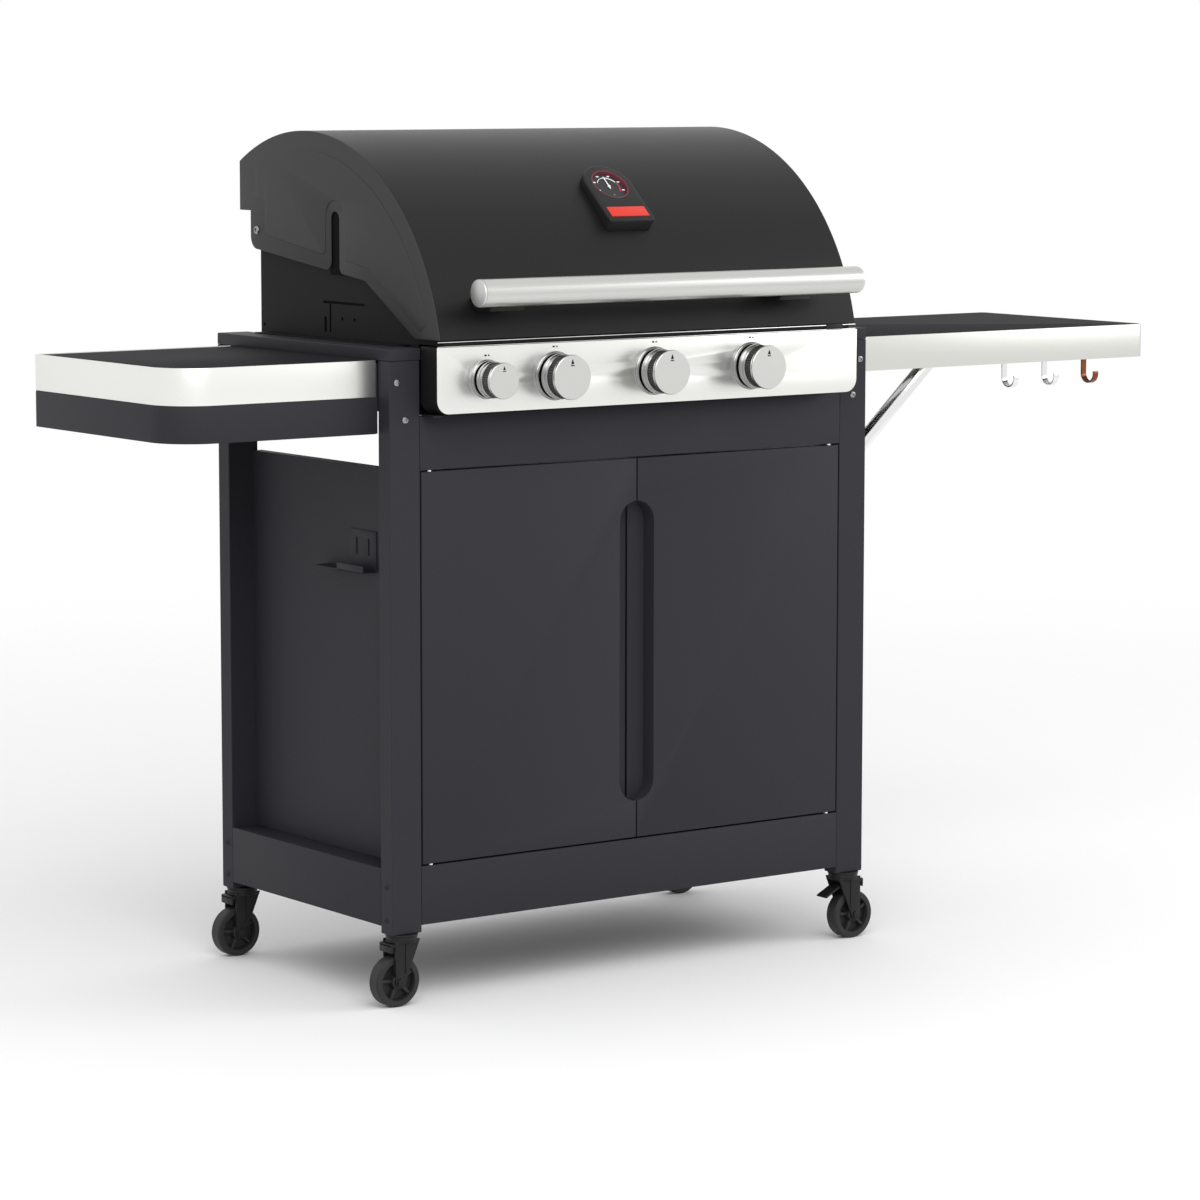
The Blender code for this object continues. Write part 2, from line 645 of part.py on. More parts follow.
def build_grates():
    left, right = FIREBOX_LEFT + GRATE_SIDE_ROOM, FIREBOX_RIGHT - GRATE_SIDE_ROOM
    middle = (left + right) / 2
    front, back = FIREBOX_WALL + GRATE_END_ROOM, FIREBOX_BACK - GRATE_END_ROOM
    top = GRATE_BOTTOM + GRATE_THICKNESS
    slotted_plate("cooking_grate_left", (left, front, GRATE_BOTTOM), (middle - 0.001, back, top),
                  GRATE_BAR, GRATE_PITCH, "cast_iron")
    slotted_plate("cooking_grate_right", (middle + 0.001, front, GRATE_BOTTOM), (right, back, top),
                  GRATE_BAR, GRATE_PITCH, "cast_iron")
    slotted_plate("warming_rack", (FIREBOX_LEFT + SHEET + GAP, RACK_Y[0], RACK_BOTTOM),
                  (FIREBOX_RIGHT - SHEET - GAP, RACK_Y[1], RACK_BOTTOM + RACK_THICKNESS), RACK_BAR, RACK_PITCH, "chrome")


def build_burners():
    """Three tube burners, each under a folded flame tamer."""
    front, back = BURNER_Y
    half, low, peak = TAMER_HALF_WIDTH, TAMER_LOW, TAMER_PEAK
    for number, x in enumerate(BURNER_X, 1):
        burner = place(f"burner_tube_{number}",
                       cylinder((x, front, BURNER_Z), (x, back, BURNER_Z), BURNER_RADIUS, 16), "stainless")
        cut(burner, cylinder((x, front - OVERRUN, BURNER_Z), (x, back - SHEET, BURNER_Z), BURNER_RADIUS - SHEET, 16))
        outline = [(x - half, low), (x, peak - SHEET), (x + half, low), (x + half, low + SHEET), (x, peak),
                   (x - half, low + SHEET)]
        place(f"flame_tamer_{number}", prism(outline, FRONT_OUTLINE, -TAMER_Y[1], -TAMER_Y[0]), "stainless")


def build_grease_tray():
    low, high = (TRAY_LEFT, TRAY_Y[0], TRAY_BOTTOM), (TRAY_RIGHT, TRAY_Y[1], TRAY_TOP)
    tray = place("grease_tray", box(low, high), "stainless")
    inner_low, inner_high = inset(low, high, SHEET)
    cut(tray, box(inner_low, (inner_high[0], TRAY_GRIP_Y, high[2] + OVERRUN)))
    cut(tray, box((low[0] - OVERRUN, TRAY_GRIP_Y + SHEET, low[2] - OVERRUN),
                  (high[0] + OVERRUN, high[1] + OVERRUN, high[2] - SHEET)))


# ---- lid -----------------------------------------------------------------------------------------

def lid_arc(radius, steps):
    """The lid's curve from its back edge over the top to its front hem."""
    back_angle = math.degrees(math.acos((LID_BACK - LID_CENTRE_Y) / LID_RADIUS))
    front_angle = 180 - math.degrees(math.asin((LID_HEM_Z - LID_CENTRE_Z) / LID_RADIUS))
    return arc((LID_CENTRE_Y, LID_CENTRE_Z), radius, back_angle, front_angle, steps)


def lid_surface(radius):
    """A long drum of the lid's curve, to fit pieces to it."""
    return cylinder((0, LID_CENTRE_Y, LID_CENTRE_Z), (1, LID_CENTRE_Y, LID_CENTRE_Z), radius, 160)


def build_lid_shell():
    """Open curved skin with Solidify, bent down along its back edge."""
    profile = [(LID_BACK, LID_BACK_HEM_Z)] + lid_arc(LID_RADIUS, 36)
    left, right = LID_LEFT + SHEET + GAP, LID_RIGHT - SHEET - GAP
    bm = bmesh.new()
    start = [bm.verts.new((left, y, z)) for y, z in profile]
    edges = [bm.edges.new(pair) for pair in zip(start, start[1:])]
    swept = bmesh.ops.extrude_edge_only(bm, edges=edges)["geom"]
    moved = [item for item in swept if isinstance(item, bmesh.types.BMVert)]
    bmesh.ops.translate(bm, verts=moved, vec=(right - left, 0, 0))
    shell = place("lid_shell", finish_mesh(bm), "lid_enamel", (0, LID_PIVOT_Y, LID_PIVOT_Z))
    for polygon in shell.data.polygons:
        outward = polygon.center + Vector((0, LID_PIVOT_Y - LID_CENTRE_Y, LID_PIVOT_Z - LID_CENTRE_Z))
        if polygon.normal.dot(Vector((0, outward.y, outward.z))) < 0:
            polygon.flip()
    solidify = shell.modifiers.new("sheet", "SOLIDIFY")
    solidify.thickness = SHEET
    solidify.offset = -1
    solidify.use_even_offset = True


def end_cap_outline():
    """End plate: the lid's curve above, a slanted and slotted edge below."""
    back_step = CAP_LOWER_EDGE[-1][0]
    corners = [(CAP_FRONT_Y, LID_HEM_Z), *CAP_LOWER_EDGE, (back_step, LID_BACK_HEM_Z), (LID_BACK, LID_BACK_HEM_Z)]
    lower = fillet(corners, (0, *CAP_EDGE_RADII, 0, 0), 4)
    return lid_arc(LID_RADIUS, 36) + lower


def build_end_caps():
    outline = end_cap_outline()
    for side, left in (("left", LID_LEFT), ("right", LID_RIGHT - SHEET)):
        cap = place("lid_end_cap_" + side, prism(outline, ALONG_X, left, left + SHEET), "lid_enamel",
                    (0, LID_PIVOT_Y, LID_PIVOT_Z))
        pin = (left - OVERRUN, LID_PIVOT_Y, LID_PIVOT_Z), (left + OVERRUN, LID_PIVOT_Y, LID_PIVOT_Z)
        cut(cap, cylinder(*pin, LID_PIN_RADIUS, 12))


def build_lid_handle():
    """Round tube on two stand-offs that follow the lid's skin. A vent in one end keeps it open."""
    length = HANDLE_RIGHT - HANDLE_LEFT
    inner = HANDLE_RADIUS - SHEET
    profile = [(0, 0), (0, SHEET), (inner, SHEET), (inner, length - SHEET), (HANDLE_VENT_RADIUS, length - SHEET),
               (HANDLE_VENT_RADIUS, length), (HANDLE_RADIUS, length), (HANDLE_RADIUS, 0)]
    handle = lathe("lid_handle", profile, "stainless", (HANDLE_LEFT, HANDLE_Y, HANDLE_Z),
                   Matrix.Rotation(math.pi / 2, 3, "Y"), 32)
    for x in BRACKET_X:
        block = bpy.data.objects.new("tool", box((x, HANDLE_Y, BRACKET_Z[0]), (x + BRACKET_WIDTH, BRACKET_ROOT, BRACKET_Z[1])))
        join(handle, trim(block, lid_surface(LID_RADIUS + 2 * GAP)))


def gauge_frame():
    """Turn and place of the thermometer: Z out of the lid, Y up its slope."""
    out = Vector((0, math.cos(GAUGE_ANGLE), math.sin(GAUGE_ANGLE)))
    up = Vector((0, math.sin(GAUGE_ANGLE), -math.cos(GAUGE_ANGLE)))
    turn = Matrix((Vector((1, 0, 0)), up, out)).transposed().to_4x4()
    centre = Vector((GAUGE_X, LID_CENTRE_Y, LID_CENTRE_Z)) + out * (LID_RADIUS + GAUGE_STANDOFF)
    return Matrix.Translation(centre) @ turn


def build_thermometer():
    """Flat-faced housing, round above and square below, cut to the lid's curve, with a dial needle."""
    here = gauge_frame()
    outline = arc((0, 0), GAUGE_RADIUS, 0, 180, 16) + [(-GAUGE_RADIUS, -GAUGE_TAIL), (GAUGE_RADIUS, -GAUGE_TAIL)]
    housing = place("thermometer_housing", prism(outline, here, GAUGE_ROOT, 0), "black_plastic")
    cut(housing, lid_surface(LID_RADIUS + 2 * GAP))
    cut(housing, turned(cylinder((0, 0, -GAUGE_DIAL_DEPTH), (0, 0, OVERRUN), GAUGE_DIAL_RADIUS, 32), here))
    blade = box((-NEEDLE_HALF_WIDTH, NEEDLE_TAIL, NEEDLE_Z[0]), (NEEDLE_HALF_WIDTH, NEEDLE_TIP, NEEDLE_Z[1]))
    needle = place("thermometer_needle", blade, "dial_white")
    needle.matrix_local = here
    join(needle, turned(cylinder((0, 0, NEEDLE_HUB_Z[0]), (0, 0, NEEDLE_HUB_Z[1]), NEEDLE_HUB_RADIUS, 12), here))


# ---- side burner ---------------------------------------------------------------------------------

def left_outline(margin):
    left, right = LEFT_SHELF_END + margin, LEFT_SHELF_INNER - margin
    front, back = SHELF_FRONT + margin, SHELF_BACK - margin
    corners = [(left, front), (right, front), (right, back), (left, back)]
    return fillet(corners, (LEFT_CORNER - margin, 0, 0, 0), 12)


def build_side_burner():
    """Box with its burner, a stainless band round the top, and a flush lid hinged at the back."""
    top = BAND_BOTTOM - GAP
    pan = place("side_burner_box", prism(left_outline(0), IDENTITY, BURNER_BOX_BOTTOM, top), "cabinet_paint")
    cut(pan, prism(left_outline(BAND_WALL), IDENTITY, BURNER_BOX_BOTTOM + SHEET, top + OVERRUN))
    middle = ((LEFT_SHELF_END + LEFT_SHELF_INNER) / 2, (SHELF_FRONT + SHELF_BACK) / 2)
    join(pan, cylinder((*middle, BURNER_BOX_BOTTOM + SHEET / 2), (*middle, 0.836), 0.034, 24, 0.038))
    for half_x, half_y in ((0.100, 0.003), (0.003, 0.100)):
        join(pan, box((middle[0] - half_x, middle[1] - half_y, 0.832), (middle[0] + half_x, middle[1] + half_y, 0.848)))

    band = place("side_burner_band", prism(left_outline(0), IDENTITY, BAND_BOTTOM, SHELF_TOP), "stainless")
    cut(band, prism(left_outline(BAND_WALL), IDENTITY, BAND_BOTTOM - OVERRUN, SHELF_TOP + OVERRUN))

    margin = BAND_WALL + 0.0006
    lid_top = SHELF_TOP - 0.001
    lid = place("side_burner_lid", prism(left_outline(margin), IDENTITY, lid_top - BURNER_LID_DEPTH, lid_top),
                "cabinet_paint", (0, SHELF_BACK - margin, lid_top))
    cut(lid, prism(left_outline(margin + SHEET), IDENTITY, lid_top - BURNER_LID_DEPTH - OVERRUN, lid_top - SHEET))


# ---- folding shelf -------------------------------------------------------------------------------

def right_outline(margin):
    left, right = RIGHT_SHELF_INNER + margin, RIGHT_SHELF_END - margin
    front, back = SHELF_FRONT + margin, SHELF_BACK - margin
    corners = [(left, front), (right, front), (right, back), (left, back)]
    return fillet(corners, (0, RIGHT_CORNER - margin, RIGHT_CORNER - margin, 0), 5)


def build_folding_shelf():
    """Tray open below, with two lugs round the hinge rod. The wall at the hinge end is shallow."""
    shelf = place("folding_shelf", prism(right_outline(0), IDENTITY, BAND_BOTTOM, SHELF_TOP), "stainless",
                  (SHELF_PIVOT_X, 0, SHELF_PIVOT_Z))
    cut(shelf, prism(right_outline(BAND_WALL), IDENTITY, BAND_BOTTOM - OVERRUN, SHELF_TOP - BAND_WALL))
    cut(shelf, box((RIGHT_SHELF_INNER - OVERRUN, SHELF_FRONT + BAND_WALL, BAND_BOTTOM - OVERRUN),
                   (RIGHT_SHELF_INNER + OVERRUN, SHELF_BACK - BAND_WALL, 0.857)))
    for y, inward in zip(STRUT_Y, (1, -1)):
        lug = arc((SHELF_PIVOT_X, SHELF_PIVOT_Z), 0.007, 180, 360, 10)
        lug += [(SHELF_PIVOT_X + 0.020, SHELF_TOP - 0.001), (SHELF_PIVOT_X - 0.004, SHELF_TOP - 0.001)]
        middle = y + inward * LUG_OFFSET
        join(shelf, prism(lug, FRONT_OUTLINE, -middle - SHEET, -middle + SHEET))
    cut(shelf, cylinder((SHELF_PIVOT_X, STRUT_Y[0], SHELF_PIVOT_Z), (SHELF_PIVOT_X, STRUT_Y[1], SHELF_PIVOT_Z),
                        0.004 + GAP, 16))


def build_hinge_frame():
    """Rod the shelf turns on, held by two angle plates that also carry the strut pins."""
    front, back = STRUT_Y[0] - EAR_OFFSET, STRUT_Y[1] + EAR_OFFSET
    rod = cylinder((SHELF_PIVOT_X, front, SHELF_PIVOT_Z), (SHELF_PIVOT_X, back, SHELF_PIVOT_Z), 0.004, 16)
    frame = place("shelf_hinge_frame", rod, "cabinet_paint")
    left = CABINET_WIDTH + GAP
    bottom = STRUT_PIVOT_Z - 0.015
    for plate_front, plate_back, ear in ((front, front + 0.030, front), (back - 0.030, back, back - SHEET)):
        join(frame, box((left, plate_front, bottom), (left + SHEET, plate_back, 0.887)))
        outline = [(left, bottom), (0.842, bottom + 0.005), (0.842, 0.840), (left, 0.850)]
        join(frame, prism(outline, FRONT_OUTLINE, -ear - SHEET, -ear))
    for y, ear in zip(STRUT_Y, (front + SHEET / 2, back - SHEET / 2)):
        tip = y + math.copysign(STRUT_WIDTH / 2 + 0.001, y - ear)
        join(frame, cylinder((STRUT_PIVOT_X, ear, STRUT_PIVOT_Z), (STRUT_PIVOT_X, tip, STRUT_PIVOT_Z), 0.003, 12))


def build_strut():
    """Two channels joined by a cross rod at the end that runs under the shelf."""
    pivot = Matrix.Translation((STRUT_PIVOT_X, 0, STRUT_PIVOT_Z)) @ Matrix.Rotation(-STRUT_ANGLE, 4, "Y")
    rod = cylinder((STRUT_LENGTH, STRUT_Y[0], 0), (STRUT_LENGTH, STRUT_Y[1], 0), 0.003, 12)
    strut = place("shelf_strut", rod, "stainless")
    strut.matrix_local = pivot
    half = STRUT_HEIGHT / 2
    wide = STRUT_WIDTH / 2
    for y in STRUT_Y:
        join(strut, turned(box((-half, y - wide, -half), (STRUT_LENGTH + half, y + wide, half)), pivot))
    for y in STRUT_Y:
        low = (-OVERRUN, y - wide + SHEET, -half + SHEET)
        cut(strut, turned(box(low, (STRUT_LENGTH - 0.006, y + wide - SHEET, OVERRUN)), pivot))
    cut(strut, turned(cylinder((0, 0, 0), (0, SHELF_BACK, 0), 0.003 + GAP, 12), pivot))


def hook_outline():
    """A flat strip bent into a J, in the Y-Z plane."""
    centre = (HOOK_Y - HOOK_RADIUS, HOOK_CENTRE_Z)
    outer = HOOK_RADIUS + HOOK_THICKNESS / 2
    inner = HOOK_RADIUS - HOOK_THICKNESS / 2
    back_edge = [(HOOK_Y + HOOK_THICKNESS / 2, 0.8745)] + arc(centre, outer, 0, -205, 14)
    front_edge = arc(centre, inner, -205, 0, 14) + [(HOOK_Y - HOOK_THICKNESS / 2, 0.8745)]
    return back_edge + front_edge


def build_hook_rail():
    """Three hooks on one strip behind the shelf's front band."""
    half = HOOK_THICKNESS / 2
    strip = box((HOOK_X[0] - 0.015, HOOK_Y - half, 0.850), (HOOK_X[2] + 0.015, HOOK_Y + half, SHELF_TOP - BAND_WALL - GAP))
    rail = place("hook_rail", strip, "chrome")
    for x in HOOK_X:
        join(rail, prism(hook_outline(), ALONG_X, x - HOOK_WIDTH / 2, x + HOOK_WIDTH / 2))


# ---- casters -------------------------------------------------------------------------------------

def build_caster(corner, x, y, trail, braked):
    """Swivel fork with its kingpin and axle, a spoked wheel, and a brake lever on braked casters."""
    axle_x = x + trail
    fork = place("caster_fork_" + corner, cylinder((x, y, CROWN_BOTTOM), (x, y, CROWN_TOP), CROWN_RADIUS, 24),
                 "black_plastic", (x, y, 0))
    join(fork, cylinder((x, y, CROWN_TOP - 0.001), (x, y, LEG_BOTTOM + 0.020), 0.006, 12))
    boss = arc((axle_x, WHEEL_RADIUS), 0.008, 180, 360, 8)
    crown = [(x + 0.020, CROWN_BOTTOM + 0.004), (x - 0.020, CROWN_BOTTOM + 0.004)]
    for front, back in ((-CHEEK_OUTER, -CHEEK_INNER), (CHEEK_INNER, CHEEK_OUTER)):
        join(fork, prism(boss + crown, FRONT_OUTLINE, -y - back, -y - front))
    join(fork, cylinder((axle_x, y - 0.0175, WHEEL_RADIUS), (axle_x, y + 0.0175, WHEEL_RADIUS), AXLE_RADIUS, 12))

    bore, hub, rim = AXLE_RADIUS + 2 * GAP, 0.010, 0.026
    half, web = WHEEL_HALF_WIDTH, 0.004
    profile = [(bore, 0.0125), (bore, -0.0125), (hub, -0.0125), (hub, -web), (rim, -web), (rim, -half),
               (WHEEL_RADIUS - 0.002, -half), (WHEEL_RADIUS, -half + 0.003), (WHEEL_RADIUS, half - 0.003),
               (WHEEL_RADIUS - 0.002, half), (rim, half), (rim, web), (hub, web), (hub, 0.0125)]
    lathe("caster_wheel_" + corner, profile[::-1], "black_plastic", (axle_x, y, WHEEL_RADIUS),
          Matrix.Rotation(math.pi / 2, 3, "X"), 24)

    if braked:
        pivot = Vector((x - BRAKE_OFFSET, y, BRAKE_PIVOT_Z))
        lever = place("brake_lever_" + corner, box((-0.004, -0.0115, -0.0015), (0.034, 0.0115, 0.0015)), "black_plastic")
        lever.matrix_local = Matrix.Translation(pivot) @ Matrix.Rotation(math.pi - BRAKE_SLOPE, 4, "Y")
        soften(lever, 0.001)


def build_casters():
    left, right = LEG_WIDTH / 2, CABINET_WIDTH - LEG_WIDTH / 2
    front, back = LEG_DEPTH / 2, CABINET_DEPTH - LEG_DEPTH / 2
    build_caster("front_left", left, front, -CASTER_TRAIL, False)
    build_caster("back_left", left, back, -CASTER_TRAIL, False)
    build_caster("front_right", right, front, CASTER_TRAIL, True)
    build_caster("back_right", right, back, CASTER_TRAIL, True)


def shade_round_parts():
    for part in PARTS.objects:
        if part.type == "MESH":
            part.data.shade_smooth()
            part.data.set_sharp_from_angle(angle=math.radians(35))


build_legs()
for cabinet_side in ("left", "right"):
    build_side(cabinet_side)
    build_door(cabinet_side)
build_front_rails()
build_back_panel()
build_bottom_shelf()
build_control_panel()
build_gas_manifold()
build_knobs()
build_firebox()
build_grates()
build_burners()
build_grease_tray()
build_lid_shell()
build_end_caps()
build_lid_handle()
build_thermometer()
build_side_burner()
build_folding_shelf()
build_hinge_frame()
build_strut()
build_hook_rail()
build_casters()
shade_round_parts()
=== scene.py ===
import itertools
import json
import math

import bpy
from mathutils import Matrix, Vector

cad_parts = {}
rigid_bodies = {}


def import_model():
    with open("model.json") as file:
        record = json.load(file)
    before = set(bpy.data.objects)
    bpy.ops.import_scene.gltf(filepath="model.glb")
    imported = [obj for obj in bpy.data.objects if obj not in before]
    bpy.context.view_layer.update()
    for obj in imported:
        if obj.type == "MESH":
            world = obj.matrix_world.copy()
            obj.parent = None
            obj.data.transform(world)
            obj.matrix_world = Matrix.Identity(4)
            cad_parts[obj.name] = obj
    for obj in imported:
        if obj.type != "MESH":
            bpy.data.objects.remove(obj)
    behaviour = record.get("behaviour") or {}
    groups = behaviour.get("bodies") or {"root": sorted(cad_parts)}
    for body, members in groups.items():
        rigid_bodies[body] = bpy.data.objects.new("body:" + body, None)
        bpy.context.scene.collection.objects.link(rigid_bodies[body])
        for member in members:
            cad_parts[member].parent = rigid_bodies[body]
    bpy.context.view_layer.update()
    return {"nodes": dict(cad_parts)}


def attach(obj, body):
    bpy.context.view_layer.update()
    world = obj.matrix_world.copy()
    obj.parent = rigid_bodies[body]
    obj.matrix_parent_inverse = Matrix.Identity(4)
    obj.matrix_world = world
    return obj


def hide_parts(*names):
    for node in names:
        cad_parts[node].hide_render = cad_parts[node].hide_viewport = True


for leftover in list(bpy.data.objects):  # start from an empty scene
    bpy.data.objects.remove(leftover)

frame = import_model()
nodes = frame["nodes"]
print("frame loaded:", len(nodes), "nodes")

# everything below is worked out in the maker's own frame, whose zero is the cabinet's left front corner
shift = Vector((-0.539, -0.182775, 0.0))


# camera, floor and light

viewSettings = {
    "cameraPlace": (-3.1080, -4.7507, 1.2702),
    "yaw": 36.023,
    "pitch": -7.154,
    "roll": 0.047,
    "lens": 128.09,
    "sensor": 36.0,
}

lightSettings = {
    "floorColour": (0.80, 0.80, 0.80, 1),
    "floorFade": (0.8, 4.5),  # where the fade starts and ends, in metres
    "skyColour": (1.0, 1.0, 1.0, 1),
    "skyStrength": 1.0,
    "aim": (0, 0, 0.7),
    "keyPlace": (-1.5, -3.0, 3.2),
    "keyPower": 90.0,
    "keySize": 3.0,
    "fillPlace": (3.0, -2.0, 2.0),
    "fillPower": 30.0,
    "fillSize": 2.0,
    "floorHalf": 40.0,
}


def makeCamera(s):
    data = bpy.data.cameras.new("viewCamera")
    camera = bpy.data.objects.new("viewCamera", data)
    bpy.context.scene.collection.objects.link(camera)
    yaw, pitch = math.radians(s["yaw"]), math.radians(s["pitch"])
    forward = Vector((math.sin(yaw) * math.cos(pitch), math.cos(yaw) * math.cos(pitch), math.sin(pitch)))
    turn = forward.to_track_quat("-Z", "Y").to_matrix().to_4x4()
    turn = turn @ Matrix.Rotation(math.radians(s["roll"]), 4, "Z")
    camera.matrix_world = Matrix.Translation(Vector(s["cameraPlace"]) + shift) @ turn
    data.sensor_width = s["sensor"]
    data.lens = s["lens"]
    data.clip_end = 200
    bpy.context.scene.camera = camera
    return camera


def makeFloor(s):
    bpy.ops.object.select_all(action="DESELECT")
    bpy.ops.mesh.primitive_plane_add(size=2 * s["floorHalf"], location=(0, 0, 0))
    floor = bpy.context.active_object
    floor.name = "studioFloor"
    material = bpy.data.materials.new("studioFloor")
    material.use_nodes = True
    shader = material.node_tree.nodes["Principled BSDF"]
    shader.inputs["Base Color"].default_value = s["floorColour"]
    shader.inputs["Roughness"].default_value = 0.9
    tree = material.node_tree  # the floor fades into the white backdrop with distance
    place = tree.nodes.new("ShaderNodeTexCoord")
    reach = tree.nodes.new("ShaderNodeVectorMath")
    reach.operation = "LENGTH"
    tree.links.new(place.outputs["Object"], reach.inputs[0])
    fade = tree.nodes.new("ShaderNodeMapRange")
    fade.interpolation_type = "SMOOTHSTEP"
    fade.inputs["From Min"].default_value, fade.inputs["From Max"].default_value = s["floorFade"]
    tree.links.new(reach.outputs["Value"], fade.inputs["Value"])
    white = tree.nodes.new("ShaderNodeEmission")
    blend = tree.nodes.new("ShaderNodeMixShader")
    tree.links.new(fade.outputs["Result"], blend.inputs[0])
    tree.links.new(shader.outputs[0], blend.inputs[1])
    tree.links.new(white.outputs[0], blend.inputs[2])
    tree.links.new(blend.outputs[0], tree.nodes["Material Output"].inputs["Surface"])
    floor.data.materials.append(material)


def addArea(name, place, aim, size, power):
    data = bpy.data.lights.new(name, "AREA")
    data.shape = "RECTANGLE"
    data.size, data.size_y = size, size
    data.energy = power
    lamp = bpy.data.objects.new(name, data)
    bpy.context.scene.collection.objects.link(lamp)
    lamp.location = place
    lamp.rotation_euler = (Vector(aim) - Vector(place)).to_track_quat("-Z", "Y").to_euler()
    return lamp


def makeLight(s):
    world = bpy.data.worlds.new("studio")
    bpy.context.scene.world = world
    world.use_nodes = True
    sky = world.node_tree.nodes["Background"]
    sky.inputs["Color"].default_value = s["skyColour"]
    sky.inputs["Strength"].default_value = s["skyStrength"]
    addArea("keyLight", s["keyPlace"], s["aim"], s["keySize"], s["keyPower"])
    addArea("fillLight", s["fillPlace"], s["aim"], s["fillSize"], s["fillPower"])


makeCamera(viewSettings)
makeFloor(lightSettings)
makeLight(lightSettings)
bpy.context.scene.view_settings.view_transform = "Standard"
print("camera, floor and light made")


# shared shader groups

def addSocket(group, name, kind, inOut, value=None):
    socket = group.interface.new_socket(name=name, in_out=inOut, socket_type=kind)
    if value is not None:
        socket.default_value = value
    return socket


def link(tree, fromNode, fromSocket, toNode, toSocket):
    tree.links.new(fromNode.outputs[fromSocket], toNode.inputs[toSocket])


def addMath(tree, operation, value=0.5):
    node = tree.nodes.new("ShaderNodeMath")
    node.operation = operation
    node.inputs[1].default_value = value
    return node


def buildPowderGroup():
    # fine orange-peel grain of a powder coat: colour mottling, uneven gloss and a soft bump height
    group = bpy.data.node_groups.new("powderGrain", "ShaderNodeTree")
    addSocket(group, "Colour", "NodeSocketColor", "INPUT", (0.05, 0.05, 0.05, 1))
    addSocket(group, "Grain Size", "NodeSocketFloat", "INPUT", 1500.0)
    addSocket(group, "Mottle", "NodeSocketFloat", "INPUT", 0.08)
    addSocket(group, "Roughness", "NodeSocketFloat", "INPUT", 0.5)
    addSocket(group, "Unevenness", "NodeSocketFloat", "INPUT", 0.06)
    addSocket(group, "Colour", "NodeSocketColor", "OUTPUT")
    addSocket(group, "Roughness", "NodeSocketFloat", "OUTPUT")
    addSocket(group, "Height", "NodeSocketFloat", "OUTPUT")
    tree = group
    start = tree.nodes.new("NodeGroupInput")
    end = tree.nodes.new("NodeGroupOutput")
    place = tree.nodes.new("ShaderNodeTexCoord")
    fine = tree.nodes.new("ShaderNodeTexNoise")
    fine.inputs["Detail"].default_value = 3.0
    link(tree, place, "Object", fine, "Vector")
    link(tree, start, "Grain Size", fine, "Scale")
    broad = tree.nodes.new("ShaderNodeTexNoise")
    broad.inputs["Scale"].default_value = 6.0
    broad.inputs["Detail"].default_value = 4.0
    link(tree, place, "Object", broad, "Vector")
    # mottle factor = 1 + (fine - 0.5) * mottle
    centred = addMath(tree, "SUBTRACT", 0.5)
    link(tree, fine, "Fac", centred, 0)
    scaled = addMath(tree, "MULTIPLY")
    link(tree, centred, 0, scaled, 0)
    link(tree, start, "Mottle", scaled, 1)
    factor = addMath(tree, "ADD", 1.0)
    link(tree, scaled, 0, factor, 0)
    tint = tree.nodes.new("ShaderNodeVectorMath")
    tint.operation = "SCALE"
    link(tree, start, "Colour", tint, 0)
    link(tree, factor, 0, tint, "Scale")
    link(tree, tint, 0, end, "Colour")
    uneven = addMath(tree, "SUBTRACT", 0.5)
    link(tree, broad, "Fac", uneven, 0)
    amount = addMath(tree, "MULTIPLY")
    link(tree, uneven, 0, amount, 0)
    link(tree, start, "Unevenness", amount, 1)
    rough = addMath(tree, "ADD")
    link(tree, amount, 0, rough, 0)
    link(tree, start, "Roughness", rough, 1)
    link(tree, rough, 0, end, "Roughness")
    link(tree, fine, "Fac", end, "Height")
    return group


def buildBrushGroup():
    # long fine scratches along X: a noise stretched hard along one axis
    group = bpy.data.node_groups.new("brushedGrain", "ShaderNodeTree")
    addSocket(group, "Colour", "NodeSocketColor", "INPUT", (0.6, 0.6, 0.6, 1))
    addSocket(group, "Along", "NodeSocketVector", "INPUT", (4.0, 900.0, 900.0))
    addSocket(group, "Streak", "NodeSocketFloat", "INPUT", 0.10)
    addSocket(group, "Roughness", "NodeSocketFloat", "INPUT", 0.3)
    addSocket(group, "Colour", "NodeSocketColor", "OUTPUT")
    addSocket(group, "Roughness", "NodeSocketFloat", "OUTPUT")
    addSocket(group, "Height", "NodeSocketFloat", "OUTPUT")
    tree = group
    start = tree.nodes.new("NodeGroupInput")
    end = tree.nodes.new("NodeGroupOutput")
    place = tree.nodes.new("ShaderNodeTexCoord")
    stretch = tree.nodes.new("ShaderNodeVectorMath")
    stretch.operation = "MULTIPLY"
    link(tree, place, "Object", stretch, 0)
    link(tree, start, "Along", stretch, 1)
    scratch = tree.nodes.new("ShaderNodeTexNoise")
    scratch.inputs["Scale"].default_value = 1.0
    scratch.inputs["Detail"].default_value = 5.0
    scratch.inputs["Roughness"].default_value = 0.7
    link(tree, stretch, 0, scratch, "Vector")
    centred = addMath(tree, "SUBTRACT", 0.5)
    link(tree, scratch, "Fac", centred, 0)
    scaled = addMath(tree, "MULTIPLY")
    link(tree, centred, 0, scaled, 0)
    link(tree, start, "Streak", scaled, 1)
    factor = addMath(tree, "ADD", 1.0)
    link(tree, scaled, 0, factor, 0)
    tint = tree.nodes.new("ShaderNodeVectorMath")
    tint.operation = "SCALE"
    link(tree, start, "Colour", tint, 0)
    link(tree, factor, 0, tint, "Scale")
    link(tree, tint, 0, end, "Colour")
    rough = addMath(tree, "ADD")
    link(tree, scaled, 0, rough, 0)
    link(tree, start, "Roughness", rough, 1)
    link(tree, rough, 0, end, "Roughness")
    link(tree, scratch, "Fac", end, "Height")
    return group


powderGrain = buildPowderGroup()
brushedGrain = buildBrushGroup()


# materials

def newMaterial(name):
    material = bpy.data.materials.new(name)
    material.use_nodes = True
    return material, material.node_tree, material.node_tree.nodes["Principled BSDF"]


